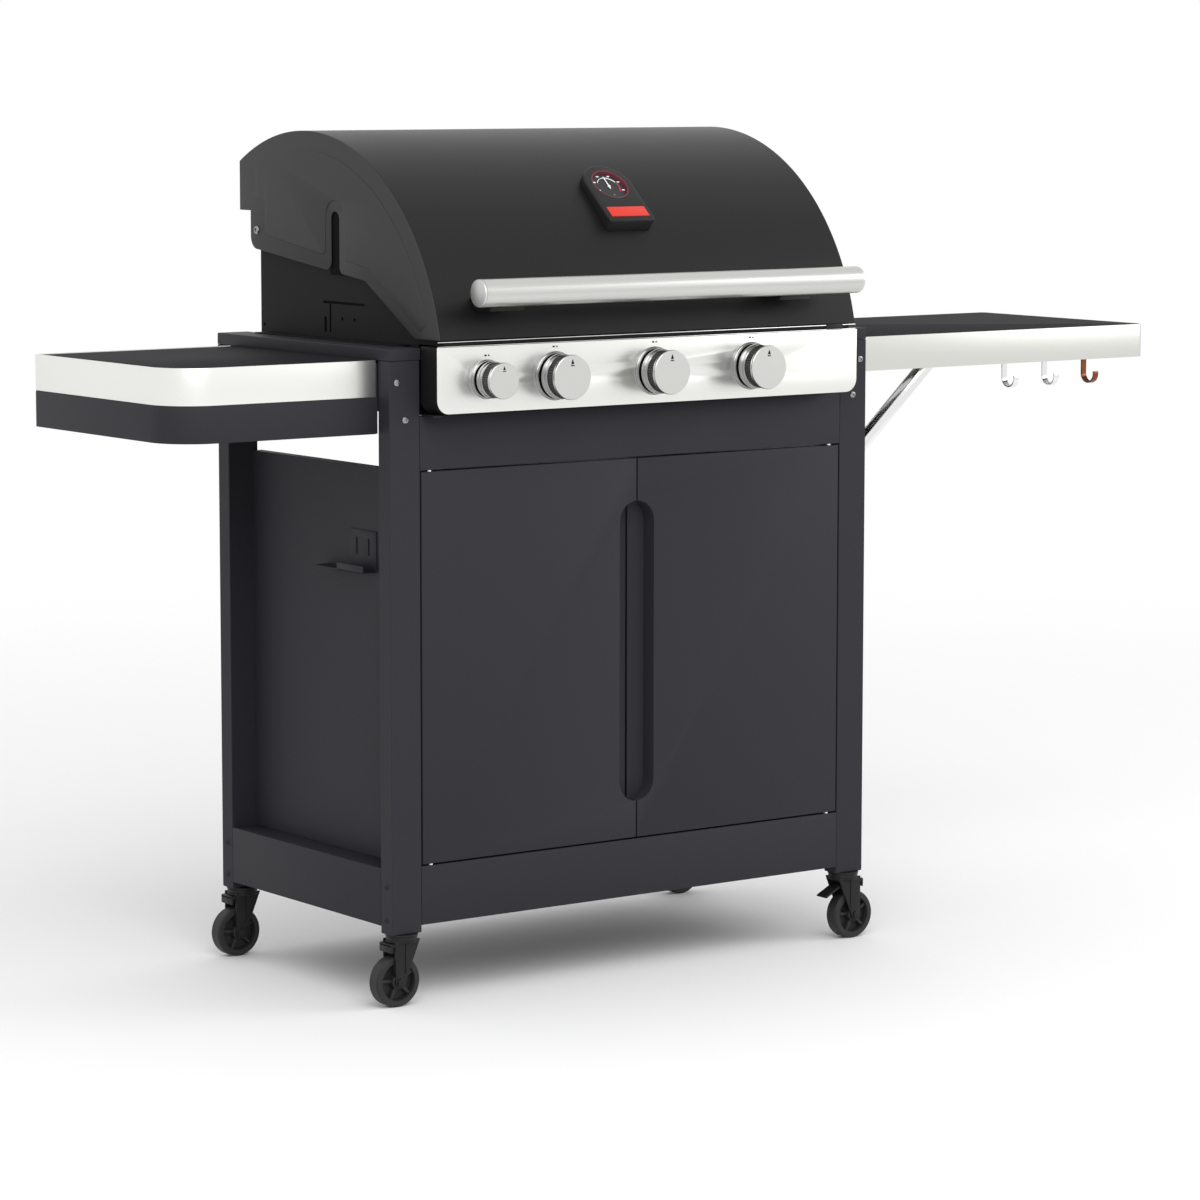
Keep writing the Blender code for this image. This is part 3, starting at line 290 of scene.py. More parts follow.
def paintMaterial(name, colour, roughness, grain=1500.0, mottle=0.10, uneven=0.06, bump=0.08, specular=0.25):
    material, tree, shader = newMaterial(name)
    group = tree.nodes.new("ShaderNodeGroup")
    group.node_tree = powderGrain
    group.inputs["Colour"].default_value = (*colour, 1)
    group.inputs["Grain Size"].default_value = grain
    group.inputs["Mottle"].default_value = mottle
    group.inputs["Roughness"].default_value = roughness
    group.inputs["Unevenness"].default_value = uneven
    link(tree, group, "Colour", shader, "Base Color")
    link(tree, group, "Roughness", shader, "Roughness")
    rise = tree.nodes.new("ShaderNodeBump")
    rise.inputs["Strength"].default_value = bump
    rise.inputs["Distance"].default_value = 0.0002
    link(tree, group, "Height", rise, "Height")
    link(tree, rise, "Normal", shader, "Normal")
    shader.inputs["Specular IOR Level"].default_value = specular
    return material


def brushedMaterial(name, colour, roughness, along=(4.0, 900.0, 900.0), streak=0.12, bump=0.05, metallic=1.0):
    material, tree, shader = newMaterial(name)
    group = tree.nodes.new("ShaderNodeGroup")
    group.node_tree = brushedGrain
    group.inputs["Colour"].default_value = (*colour, 1)
    group.inputs["Along"].default_value = along
    group.inputs["Streak"].default_value = streak
    group.inputs["Roughness"].default_value = roughness
    link(tree, group, "Colour", shader, "Base Color")
    link(tree, group, "Roughness", shader, "Roughness")
    rise = tree.nodes.new("ShaderNodeBump")
    rise.inputs["Strength"].default_value = bump
    rise.inputs["Distance"].default_value = 0.0001
    link(tree, group, "Height", rise, "Height")
    link(tree, rise, "Normal", shader, "Normal")
    shader.inputs["Metallic"].default_value = metallic
    return material


anthracitePaint = paintMaterial("anthracitePaint", (0.0215, 0.0205, 0.0255), 0.55, specular=0.16)
lidEnamel = paintMaterial("lidEnamel", (0.0085, 0.0085, 0.0085), 0.38, grain=900.0, bump=0.04, specular=0.17)
capEnamel = paintMaterial("capEnamel", (0.034, 0.034, 0.034), 0.50, grain=900.0, bump=0.04, specular=0.2)
fireboxEnamel = paintMaterial("fireboxEnamel", (0.0085, 0.0085, 0.0085), 0.50, grain=700.0, specular=0.08)
castIron = paintMaterial("castIron", (0.020, 0.019, 0.018), 0.68, grain=420.0, mottle=0.5, bump=0.5)
shelfTopPaint = paintMaterial("shelfTopPaint", (0.017, 0.017, 0.019), 0.70, specular=0.05)
casterPlastic = paintMaterial("casterPlastic", (0.010, 0.010, 0.010), 0.42, grain=600.0, bump=0.12, specular=0.22)
wheelPlastic = paintMaterial("wheelPlastic", (0.020, 0.020, 0.021), 0.50, grain=600.0, bump=0.12, specular=0.25)
gripBlack = paintMaterial("gripBlack", (0.012, 0.012, 0.012), 0.45, grain=600.0, specular=0.3)
# near-black for the printed marks, also used as painted shade on the sheets behind the firebox and end-cap slots
markBlack = paintMaterial("markBlack", (0.004, 0.004, 0.004), 0.70, grain=600.0, specular=0.05)
dialGrey = paintMaterial("dialGrey", (0.022, 0.022, 0.024), 0.45, grain=800.0)
dialWhite = paintMaterial("dialWhite", (0.80, 0.80, 0.80), 0.50, grain=800.0, mottle=0.03)
dialRed = paintMaterial("dialRed", (0.42, 0.020, 0.060), 0.45, grain=800.0)
gaugeRimRed = paintMaterial("gaugeRimRed", (0.13, 0.022, 0.035), 0.35, grain=800.0)
badgeRed = paintMaterial("badgeRed", (0.55, 0.030, 0.018), 0.40, grain=800.0, mottle=0.04)
dialGreyMark = paintMaterial("dialGreyMark", (0.20, 0.20, 0.20), 0.50, grain=800.0)
pinWhite = paintMaterial("pinWhite", (0.85, 0.85, 0.85), 0.30, grain=800.0)
brushedSteel = brushedMaterial("brushedSteel", (0.86, 0.86, 0.83), 0.34)
brushedAcross = brushedMaterial("brushedAcross", (0.86, 0.86, 0.83), 0.34, along=(900.0, 4.0, 900.0))
panelSteel = brushedMaterial("panelSteel", (0.76, 0.76, 0.73), 0.36, streak=0.05)
bandSteel = brushedMaterial("bandSteel", (0.82, 0.82, 0.79), 0.36, streak=0.06)
shelfSteel = brushedMaterial("shelfSteel", (0.62, 0.62, 0.59), 0.36, streak=0.05)
darkChrome = brushedMaterial("darkChrome", (0.30, 0.30, 0.30), 0.18, along=(60.0, 60.0, 60.0), streak=0.05, bump=0.0)
boltSteel = brushedMaterial("boltSteel", (0.30, 0.30, 0.31), 0.25, along=(60.0, 60.0, 60.0))
handleEndSteel = brushedMaterial("handleEndSteel", (0.62, 0.62, 0.61), 0.42, along=(900.0, 900.0, 900.0))
handleSteel = brushedMaterial("handleSteel", (0.58, 0.58, 0.56), 0.30)
brassMetal = brushedMaterial("brassMetal", (0.55, 0.37, 0.16), 0.32, along=(300.0, 300.0, 300.0))
chromeMetal = brushedMaterial("chromeMetal", (0.80, 0.80, 0.80), 0.10, along=(60.0, 60.0, 60.0), streak=0.05, bump=0.0)
bronzeMetal = brushedMaterial("bronzeMetal", (0.20, 0.07, 0.035), 0.28, along=(60.0, 60.0, 60.0))


def turnedMaterial(name, centre, colour, roughness):
    # rings left by turning about one centre, as on a knob's face
    material, tree, shader = newMaterial(name)
    place = tree.nodes.new("ShaderNodeTexCoord")
    offset = tree.nodes.new("ShaderNodeVectorMath")
    offset.operation = "SUBTRACT"
    offset.inputs[1].default_value = Vector(centre) + shift
    link(tree, place, "Object", offset, 0)
    flat = tree.nodes.new("ShaderNodeVectorMath")
    flat.operation = "MULTIPLY"
    flat.inputs[1].default_value = (1, 0, 1)
    link(tree, offset, 0, flat, 0)
    reach = tree.nodes.new("ShaderNodeVectorMath")
    reach.operation = "LENGTH"
    link(tree, flat, 0, reach, 0)
    rings = tree.nodes.new("ShaderNodeTexNoise")
    rings.noise_dimensions = "1D"
    rings.inputs["Scale"].default_value = 2600.0
    rings.inputs["Detail"].default_value = 3.0
    link(tree, reach, "Value", rings, "W")
    rise = tree.nodes.new("ShaderNodeBump")
    rise.inputs["Strength"].default_value = 0.22
    rise.inputs["Distance"].default_value = 0.0001
    link(tree, rings, "Fac", rise, "Height")
    link(tree, rise, "Normal", shader, "Normal")
    shader.inputs["Base Color"].default_value = (*colour, 1)
    shader.inputs["Roughness"].default_value = roughness
    shader.inputs["Metallic"].default_value = 1.0
    return material


nodeFinish = {
    "lid_shell": lidEnamel, "lid_end_cap": capEnamel, "firebox": fireboxEnamel,
    "cooking_grate": castIron, "warming_rack": chromeMetal, "flame_tamer": brushedAcross,
    "burner_tube": brushedAcross, "grease_tray": brushedAcross, "gas_manifold": brassMetal,
    "valve_stem": brassMetal, "knob": chromeMetal, "control_panel": brushedSteel,
    "lid_handle": handleSteel, "thermometer": casterPlastic, "side_burner_band": brushedSteel,
    "side_burner_lid": shelfTopPaint, "folding_shelf": brushedSteel, "shelf_strut": brushedSteel,
    "hook_rail": chromeMetal, "caster": casterPlastic, "brake_lever": casterPlastic,
}

for nodeName, node in nodes.items():
    finish = anthracitePaint
    for start, material in nodeFinish.items():
        if nodeName.startswith(start):
            finish = material
    node.data.materials.clear()
    node.data.materials.append(finish)
print("materials made")

# making and finishing pieces

def deselectAll():
    if bpy.context.mode != "OBJECT":
        bpy.ops.object.mode_set(mode="OBJECT")
    bpy.ops.object.select_all(action="DESELECT")


def makeActive(piece):
    deselectAll()
    piece.select_set(True)
    bpy.context.view_layer.objects.active = piece


def applyModifiers(piece):
    makeActive(piece)
    for modifier in list(piece.modifiers):
        bpy.ops.object.modifier_apply(modifier=modifier.name)


def roundEdges(piece, width, segments=2, angle=35):
    bevel = piece.modifiers.new("roundEdges", "BEVEL")
    bevel.width = width
    bevel.segments = segments
    bevel.limit_method = "ANGLE"
    bevel.angle_limit = math.radians(angle)
    applyModifiers(piece)


def tidyMesh(piece):
    makeActive(piece)
    bpy.ops.object.mode_set(mode="EDIT")
    bpy.ops.mesh.select_all(action="SELECT")
    bpy.ops.mesh.remove_doubles(threshold=0.00001)
    bpy.ops.mesh.normals_make_consistent(inside=False)
    bpy.ops.object.mode_set(mode="OBJECT")


def addBlock(name, low, high, edge=0.0, segments=2):
    deselectAll()
    middle = [(a + b) / 2 for a, b in zip(low, high)]
    bpy.ops.mesh.primitive_cube_add(size=1, location=middle)
    block = bpy.context.active_object
    block.name = name
    bpy.ops.transform.resize(value=[b - a for a, b in zip(low, high)])
    bpy.ops.object.transform_apply(location=True, rotation=True, scale=True)
    if edge:
        roundEdges(block, edge, segments)
    return block


def addRod(name, start, end, radius, sides=24, edge=0.0):
    deselectAll()
    start, end = Vector(start), Vector(end)
    turn = (end - start).to_track_quat("Z", "Y").to_euler()
    bpy.ops.mesh.primitive_cylinder_add(vertices=sides, radius=radius, depth=(end - start).length,
                                        location=(start + end) / 2, rotation=turn)
    rod = bpy.context.active_object
    rod.name = name
    bpy.ops.object.transform_apply(location=True, rotation=True, scale=True)
    if edge:
        roundEdges(rod, edge)
    return rod


def spinProfile(name, profile, turn, steps=48):
    # a closed (radius, height) outline spun about Z, then laid in place by a matrix
    mesh = bpy.data.meshes.new(name)
    count = len(profile)
    edges = [(i, (i + 1) % count) for i in range(count)
             if profile[i][0] > 0 or profile[(i + 1) % count][0] > 0]
    mesh.from_pydata([(radius, 0, height) for radius, height in profile], edges, [])
    piece = bpy.data.objects.new(name, mesh)
    bpy.context.scene.collection.objects.link(piece)
    makeActive(piece)
    bpy.ops.object.mode_set(mode="EDIT")
    bpy.ops.mesh.select_all(action="SELECT")
    bpy.ops.mesh.spin(steps=steps, angle=2 * math.pi, center=(0, 0, 0), axis=(0, 0, 1))
    bpy.ops.object.mode_set(mode="OBJECT")
    tidyMesh(piece)
    piece.data.transform(turn)
    return piece


planes = {
    "YZ": Matrix(((0, 0, 1, 0), (1, 0, 0, 0), (0, 1, 0, 0), (0, 0, 0, 1))),
    "XZ": Matrix(((1, 0, 0, 0), (0, 0, 1, 0), (0, 1, 0, 0), (0, 0, 0, 1))),
    "XY": Matrix.Identity(4),
}


def addPrism(name, outline, plane, low, high, edge=0.0, segments=2):
    mesh = bpy.data.meshes.new(name)
    mesh.from_pydata([(u, v, low) for u, v in outline], [], [range(len(outline))])
    piece = bpy.data.objects.new(name, mesh)
    bpy.context.scene.collection.objects.link(piece)
    makeActive(piece)
    bpy.ops.object.mode_set(mode="EDIT")
    bpy.ops.mesh.select_all(action="SELECT")
    bpy.ops.mesh.extrude_region_move(TRANSFORM_OT_translate={"value": (0, 0, high - low)})
    bpy.ops.object.mode_set(mode="OBJECT")
    piece.data.transform(planes[plane])
    tidyMesh(piece)
    if edge:
        roundEdges(piece, edge, segments)
    return piece


def arcPoints(centre, radius, start, end, steps):
    angles = [math.radians(start + (end - start) * i / steps) for i in range(steps + 1)]
    return [(centre[0] + radius * math.cos(a), centre[1] + radius * math.sin(a)) for a in angles]


def cutBy(piece, tool):
    cutter = piece.modifiers.new("cut", "BOOLEAN")
    cutter.object = tool
    cutter.operation = "DIFFERENCE"
    cutter.solver = "EXACT"
    applyModifiers(piece)
    bpy.data.objects.remove(tool)


def joinPieces(piece, others):
    makeActive(piece)
    for other in others:
        other.select_set(True)
    bpy.ops.object.join()
    return piece


def copyPiece(piece, name, turn):
    copy = bpy.data.objects.new(name, piece.data.copy())
    bpy.context.scene.collection.objects.link(copy)
    copy.data.transform(turn)
    if turn.determinant() < 0:
        tidyMesh(copy)
    return copy


def refineNode(nodeName, pieceName, edge, segments=2):
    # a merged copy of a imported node, with its hard edges softened
    piece = bpy.data.objects.new(pieceName, nodes[nodeName].data.copy())
    bpy.context.scene.collection.objects.link(piece)
    piece.data.transform(Matrix.Translation(-shift))
    makeActive(piece)
    bpy.ops.mesh.customdata_custom_splitnormals_clear()
    bpy.ops.object.mode_set(mode="EDIT")
    bpy.ops.mesh.select_all(action="SELECT")
    bpy.ops.mesh.remove_doubles(threshold=0.00002)
    bpy.ops.mesh.dissolve_limited(angle_limit=math.radians(1))
    bpy.ops.object.mode_set(mode="OBJECT")
    if edge:
        roundEdges(piece, edge, segments)
    return piece


def finishPiece(piece, material, body, replaced=(), angle=35):
    piece.data.transform(Matrix.Translation(shift))
    piece.data.materials.clear()
    piece.data.materials.append(material)
    makeActive(piece)
    bpy.ops.object.shade_smooth_by_angle(angle=math.radians(angle))
    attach(piece, body)
    if replaced:
        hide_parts(*replaced)
    return piece


# cabinet

cabinetEdges = {"doorEdge": 0.0012, "railEdge": 0.0010}

for side in ("left", "right"):
    door = refineNode("door_" + side, side + "Door", cabinetEdges["doorEdge"])
    finishPiece(door, anthracitePaint, "door_" + side, ["door_" + side])
for nodeName in ("front_rail_top", "front_rail_bottom", "side_rail_bottom_left", "side_rail_bottom_right",
                 "side_rail_top_left", "side_rail_top_right"):
    words = nodeName.split("_")
    rail = refineNode(nodeName, words[0] + "".join(word.title() for word in words[1:]), cabinetEdges["railEdge"])
    finishPiece(rail, anthracitePaint, "cabinet", [nodeName])

boltLook = {
    "head": 0.0048, "rise": 0.0022, "socket": 0.0024, "depth": 0.0014,
    "front": ((0.0116, 0.8487), (0.0246, 0.7983), (0.8089, 0.8490), (0.7959, 0.7983)),  # x and z
    "sideX": (0, 0.8205), "sideY": (0.014, 0.429), "sideZ": (0.165, 0.119), "sideSize": 0.8,
}


def makeBolt(s):
    # dome head with a hexagonal socket, its seat at the origin and its crown up Z
    head, rise = s["head"], s["rise"]
    dome = [(0, 0), (head, 0), (head, rise * 0.35), (head * 0.86, rise * 0.75), (head * 0.6, rise * 0.95), (0, rise)]
    bolt = spinProfile("bolt", dome, Matrix.Identity(4), 24)
    cutBy(bolt, addRod("socket", (0, 0, rise - s["depth"]), (0, 0, rise + 0.002), s["socket"], 6))
    return bolt


boltShape = makeBolt(boltLook)
faceFront = Matrix.Rotation(math.pi / 2, 4, "X")  # crown towards -Y
faceLeft = Matrix.Rotation(-math.pi / 2, 4, "Y")  # crown towards -X
faceRight = Matrix.Rotation(math.pi / 2, 4, "Y")
boltNumbers = itertools.count(1)


def addBolt(place, facing, body, material, size=1.0):
    turn = Matrix.Translation(place) @ facing @ Matrix.Diagonal((size, size, size, 1))
    bolt = copyPiece(boltShape, f"bolt{next(boltNumbers):02d}", turn)
    finishPiece(bolt, material, body, angle=30)


for x, z in boltLook["front"]:
    addBolt((x, 0, z), faceFront, "cabinet", boltSteel)
for y in boltLook["sideY"]:
    for z in boltLook["sideZ"]:
        for x, facing in zip(boltLook["sideX"], (faceLeft, faceRight)):
            addBolt((x, y, z), facing, "cabinet", anthracitePaint, boltLook["sideSize"])

pinShape = {"radius": 0.0028, "x": (0.0653, 0.7552), "gaps": ((0.7272, 0.7292), (0.1907, 0.1927)), "y": 0.0040}
for number, x in enumerate(pinShape["x"]):
    for level, (low, high) in enumerate(pinShape["gaps"]):
        pin = addRod(f"doorPin{number}{level}", (x, pinShape["y"], low), (x, pinShape["y"], high),
                     pinShape["radius"], 16)
        finishPiece(pin, pinWhite, "cabinet")

# bottle bracket on the left side panel: a slotted plate with a lip bent outwards
bracketShape = {
    "x": 0.0385, "y": (0.094, 0.160), "z": (0.583, 0.639), "lip": 0.022, "lipPast": 0.060, "thick": 0.0015,
    "strip": 0.010, "slots": (0.112, 0.142), "slotHalf": 0.0025, "slotX": (0.03, 0.05), "slotZ": (0.605, 0.628),
    "edge": 0.0005,
}


def makeBracket(s):
    (front, back), (low, high), thick = s["y"], s["z"], s["thick"]
    inner, outer = s["x"], s["x"] - s["lip"]
    plate = addBlock("sideBracket", (inner, front, low), (inner + thick, back, high))
    for y in s["slots"]:
        cutBy(plate, addBlock("slot", (s["slotX"][0], y - s["slotHalf"], s["slotZ"][0]),
                              (s["slotX"][1], y + s["slotHalf"], s["slotZ"][1])))
    lip = addBlock("lip", (outer, front, low), (inner + thick, back + s["lipPast"], low + thick))
    edgeStrip = addBlock("edgeStrip", (outer, front, low), (outer + thick, back, low + s["strip"]))
    joinPieces(plate, [lip, edgeStrip])
    roundEdges(plate, s["edge"], 2)
    finishPiece(plate, anthracitePaint, "cabinet")


makeBracket(bracketShape)

footShape = {"low": (0.046, 0.395, 0.826), "high": (0.055, 0.414, 0.838), "edge": 0.001}
foot = addBlock("shelfFoot", footShape["low"], footShape["high"], footShape["edge"])
finishPiece(foot, casterPlastic, "cabinet")
print("cabinet done")


# control panel and knobs

knobShape = {
    "x": (0.130, 0.242, 0.410, 0.579), "z": 0.851, "radii": (0.0244, 0.0305, 0.0305, 0.0305),
    "panelFace": -0.040, "back": -0.050, "front": -0.081, "bezelRise": 0.0062,
    "faceColour": (0.60, 0.60, 0.58), "faceRoughness": 0.30, "returns": 0.0018,
}

knobFaceSteel = [turnedMaterial(f"knobFaceSteel{number}", (x, 0, knobShape["z"]), knobShape["faceColour"],
                                knobShape["faceRoughness"]) for number, x in enumerate(knobShape["x"], 1)]

panelPiece = refineNode("control_panel", "controlPanel", 0.0014, 3)
finishPiece(panelPiece, panelSteel, "cabinet", ["control_panel"])
panelPiece.data.materials.append(fireboxEnamel)  # painted shade: the returns behind the front skin get the black firebox enamel
for face in panelPiece.data.polygons:
    if (face.center - shift).y > knobShape["panelFace"] + knobShape["returns"]:
        face.material_index = 1

panelTrim = {
    "ledges": ((0.8961, 0.8970), (0.9021, 0.9031)), "ledgeX": (0.052, 0.7685), "ledgeY": (-0.0388, -0.0372),
    "clip": ((0.715, -0.0395, 0.8965), (0.745, -0.030, 0.9045)),
    "gasJoint": ((0.0500, -0.0300, 0.8020), (0.0640, -0.0010, 0.8050)),
}
for number, (low, high) in enumerate(panelTrim["ledges"]):
    (left, right), (front, back) = panelTrim["ledgeX"], panelTrim["ledgeY"]
    strip = addBlock(f"ledgeTrim{number}", (left, front, low), (right, back, high), 0.0003)
    finishPiece(strip, chromeMetal, "cabinet")
clip = addBlock("ledgeClip", *panelTrim["clip"], 0.0012)
finishPiece(clip, casterPlastic, "cabinet")
gasJoint = addBlock("gasJoint", *panelTrim["gasJoint"], 0.0006)
finishPiece(gasJoint, casterPlastic, "cabinet")


def makeKnob(number, x, radius, s):
    z, body = s["z"], f"knob_{number}"
    outward = Matrix.Translation((x, s["back"], z)) @ faceFront
    depth = s["back"] - s["front"]
    skirt = spinProfile(f"knobSkirt{number}", [
        (0.0045, 0.0), (radius * 0.97, 0.0), (radius * 1.015, 0.0012), (radius * 1.015, 0.0050),
        (radius * 0.97, 0.0064), (radius * 0.965, 0.0078), (radius * 0.99, 0.0088), (radius * 0.99, 0.0110),
        (radius * 0.955, 0.0122), (0.0045, 0.0122)], outward, 64)
    finishPiece(skirt, darkChrome, body, [f"knob_{number}"], 30)
    band = spinProfile(f"knobGrip{number}", [
        (0.0045, 0.0123), (radius * 0.95, 0.0123), (radius * 0.955, 0.0262), (0.0045, 0.0262)], outward, 96)
    makeActive(band)
    for vertex in band.data.vertices:  # fine knurl: every second column stands a little lower
        offset = vertex.co - Vector((x, 0, z))
        flat = Vector((offset.x, 0, offset.z))
        if flat.length > radius * 0.9:
            column = round(math.atan2(flat.z, flat.x) / (2 * math.pi) * 96)
            if column % 2:
                vertex.co -= flat.normalized() * 0.0007
    finishPiece(band, gripBlack, body, angle=10)
    cap = spinProfile(f"knobFace{number}", [
        (0, 0.0263), (radius * 0.985, 0.0263), (radius, 0.0270), (radius, depth - 0.0014),
        (radius * 0.985, depth - 0.0004), (radius * 0.965, depth), (0, depth)], outward, 96)
    finishPiece(cap, knobFaceSteel[number - 1], body, angle=25)
    top = z + radius * 0.60
    half = radius * 0.085
    arrow = addPrism(f"knobArrow{number}", [(x - half, top), (x + half, top), (x, top + 2.6 * half)], "XZ",
                     s["front"] - 0.00015, s["front"] + 0.0002)
    bar = addBlock("bar", (x - half * 1.1, s["front"] - 0.00015, top - 1.1 * half),
                   (x + half * 1.1, s["front"] + 0.0002, top - 0.5 * half))
    joinPieces(arrow, [bar])
    finishPiece(arrow, markBlack, body)

    outer = radius * 1.10
    bezel = spinProfile(f"knobBezel{number}", [
        (radius * 0.80, 0.0), (outer, 0.0), (outer, 0.0010), (outer * 0.985, 0.0024), (outer * 0.96, 0.0030),
        (outer * 0.955, 0.0042), (outer * 0.94, s["bezelRise"]), (radius * 0.86, s["bezelRise"]),
        (radius * 0.80, 0.0040)],
        Matrix.Translation((x, s["panelFace"] + 0.0002, z)) @ faceFront, 72)
    finishPiece(bezel, darkChrome, "cabinet", angle=30)
    marks = addBlock(f"panelMark{number}", (x - 0.0042, s["panelFace"] - 0.0002, z + radius * 1.27),
                     (x - 0.0008, s["panelFace"] + 0.0002, z + radius * 1.27 + 0.0022))
    dot = addPrism("dot", [(x + 0.0012, z + radius * 1.27), (x + 0.0044, z + radius * 1.27),
                           (x + 0.0028, z + radius * 1.27 + 0.0028)], "XZ",
                   s["panelFace"] - 0.0002, s["panelFace"] + 0.0002)
    joinPieces(marks, [dot])
    finishPiece(marks, markBlack, "cabinet")


for number, (x, radius) in enumerate(zip(knobShape["x"], knobShape["radii"]), 1):
    makeKnob(number, x, radius, knobShape)
print("control panel and knobs done")


# firebox

fireboxShape = {
    "wall": (0.054, 0.070),  # the cutters pass through the left wall between these
    "slots": (((0.1583, 0.9415), (0.2633, 0.9450)), ((0.2438, 0.902), (0.2478, 0.943)),
              ((0.2553, 0.902), (0.2613, 0.923))),
    "holes": ((0.2153, 0.9215), (0.1843, 0.9218), (0.4193, 0.9046)), "holeRadius": 0.0026,
    "shade": ((0.0660, 0.144, 0.8970), (0.0668, 0.4255, 0.955)),
}
firebox = refineNode("firebox", "fireboxShell", 0)
wallOut, wallIn = fireboxShape["wall"]
for low, high in fireboxShape["slots"]:
    cutBy(firebox, addBlock("slotTool", (wallOut, *low), (wallIn, *high)))
for y, z in fireboxShape["holes"]:
    cutBy(firebox, addRod("holeTool", (wallOut, y, z), (wallIn, y, z), fireboxShape["holeRadius"], 16))
finishPiece(firebox, fireboxEnamel, "cabinet", ["firebox"])
# a black sheet behind the slots and holes of the left wall, painted shade for the dark inside of the firebox
shade = addBlock("fireboxShade", *fireboxShape["shade"])
finishPiece(shade, markBlack, "cabinet")
print("firebox done")


# lid

lidShape = {
    "left": 0.054, "right": 0.7665, "centre": (0.2974, 0.8341), "radius": 0.3444, "hem": 0.905,
    "back": 0.4673, "backHem": 1.0648, "sheet": 0.0015, "arcSteps": 120, "fold": 0.010,
    "pivot": (0.4213, 1.0376), "boltSize": 1.25, "shadeX": ((0.0562, 0.0568), (0.7637, 0.7643)),
    "shadeY": (0.2013, 0.2323), "shadeZ": (0.982, 1.076),
}


def lidArc(radius, steps, s):
    backAngle = math.degrees(math.acos((s["back"] - s["centre"][0]) / s["radius"]))
    frontAngle = 180 - math.degrees(math.asin((s["hem"] - s["centre"][1]) / s["radius"]))
    return arcPoints(s["centre"], radius, backAngle, frontAngle, steps)


def makeLidSkin(s):
    curve = lidArc(s["radius"], s["arcSteps"], s)
    profile = [(s["back"] - s["fold"], s["backHem"]), (s["back"], s["backHem"])] + curve
    profile += [(curve[-1][0] + s["fold"], s["hem"] - 0.0002)]
    left, right = s["left"] + s["sheet"] + 0.0003, s["right"] - s["sheet"] - 0.0003
    mesh = bpy.data.meshes.new("lidSkin")
    mesh.from_pydata([(left, y, z) for y, z in profile], [(i, i + 1) for i in range(len(profile) - 1)], [])
    skin = bpy.data.objects.new("lidSkin", mesh)
    bpy.context.scene.collection.objects.link(skin)
    makeActive(skin)
    bpy.ops.object.mode_set(mode="EDIT")
    bpy.ops.mesh.select_all(action="SELECT")
    bpy.ops.mesh.extrude_region_move(TRANSFORM_OT_translate={"value": (right - left, 0, 0)})
    bpy.ops.object.mode_set(mode="OBJECT")
    top = max(skin.data.polygons, key=lambda face: face.center.z)
    if top.normal.z < 0:
        for face in skin.data.polygons:
            face.flip()
    wall = skin.modifiers.new("sheet", "SOLIDIFY")
    wall.thickness = s["sheet"]
    wall.offset = -1
    applyModifiers(skin)
    return finishPiece(skin, lidEnamel, "lid", ["lid_shell"], 30)


def makeEndCap(s):
    lower = [(0.0207, 0.905), (0.1383, 0.9747), (0.1423, 0.9765), (0.1463, 0.9776)]
    lower += [(0.1963, 0.9836)] + arcPoints((0.1963, 0.9936), 0.010, -90, 0, 5)[1:]
    lower += arcPoints((0.2168, 1.0587), 0.0105, 180, 0, 10) + arcPoints((0.2393, 1.0007), 0.012, 180, 277, 6)
    lower += [(0.4223, 1.0108)] + arcPoints((0.4207, 1.0285), 0.018, -80, 0, 6) + [(0.4387, 1.0648), (0.4673, 1.0648)]
    outline = lidArc(s["radius"], s["arcSteps"], s) + lower
    cap = addPrism("lidEndCapLeft", outline, "YZ", s["left"], s["left"] + s["sheet"], 0.0006, 2)
    inner = s["radius"] - 0.026
    raised = arcPoints(s["centre"], inner, 66.2, 163.5, 60)
    raised += [(0.0073, 0.9150), (0.0793, 0.9600), (0.1313, 0.9940), (0.1793, 1.0015)]
    raised += arcPoints((0.1853, 1.0090), 0.007, -85, -5, 4)
    raised += arcPoints((0.2168, 1.0610), 0.0235, 180, 0, 12) + [(0.2408, 1.0180)]
    raised += arcPoints((0.2483, 1.0170), 0.007, 185, 275, 4)
    raised += [(0.3923, 1.0315)] + arcPoints((0.3933, 1.0385), 0.006, -80, 0, 4) + [(0.3993, 1.0770)]
    raised += [(0.4033, 1.0810), (0.4218, 1.0830), (0.4258, 1.0870)]
    panel = addPrism("raised", raised, "YZ", s["left"] - 0.0009, s["left"] + 0.0004, 0.0008, 3)
    joinPieces(cap, [panel])
    return cap


makeLidSkin(lidShape)
capLeft = makeEndCap(lidShape)
mirror = Matrix.Translation((lidShape["left"] + lidShape["right"], 0, 0)) @ Matrix.Diagonal((-1, 1, 1, 1))
capRight = copyPiece(capLeft, "lidEndCapRight", mirror)
finishPiece(capLeft, capEnamel, "lid", ["lid_end_cap_left"], 30)
finishPiece(capRight, capEnamel, "lid", ["lid_end_cap_right"], 30)
# black sheets behind the spit slot of each end cap, painted shade for the dark inside of the lid
for label, (inner, outer) in zip(("Left", "Right"), lidShape["shadeX"]):
    back = addBlock("slotShade" + label, (inner, lidShape["shadeY"][0], lidShape["shadeZ"][0]),
                    (outer, lidShape["shadeY"][1], lidShape["shadeZ"][1]))
    finishPiece(back, markBlack, "lid")
for x, facing in ((lidShape["left"], faceLeft), (lidShape["right"], faceRight)):
    addBolt((x, *lidShape["pivot"]), facing, "lid", boltSteel, lidShape["boltSize"])

handleShape = {
    "left": 0.086, "right": 0.735, "y": -0.083, "z": 0.969, "radius": 0.01875,
    "brackets": (0.113, 0.603), "wide": 0.055,
}


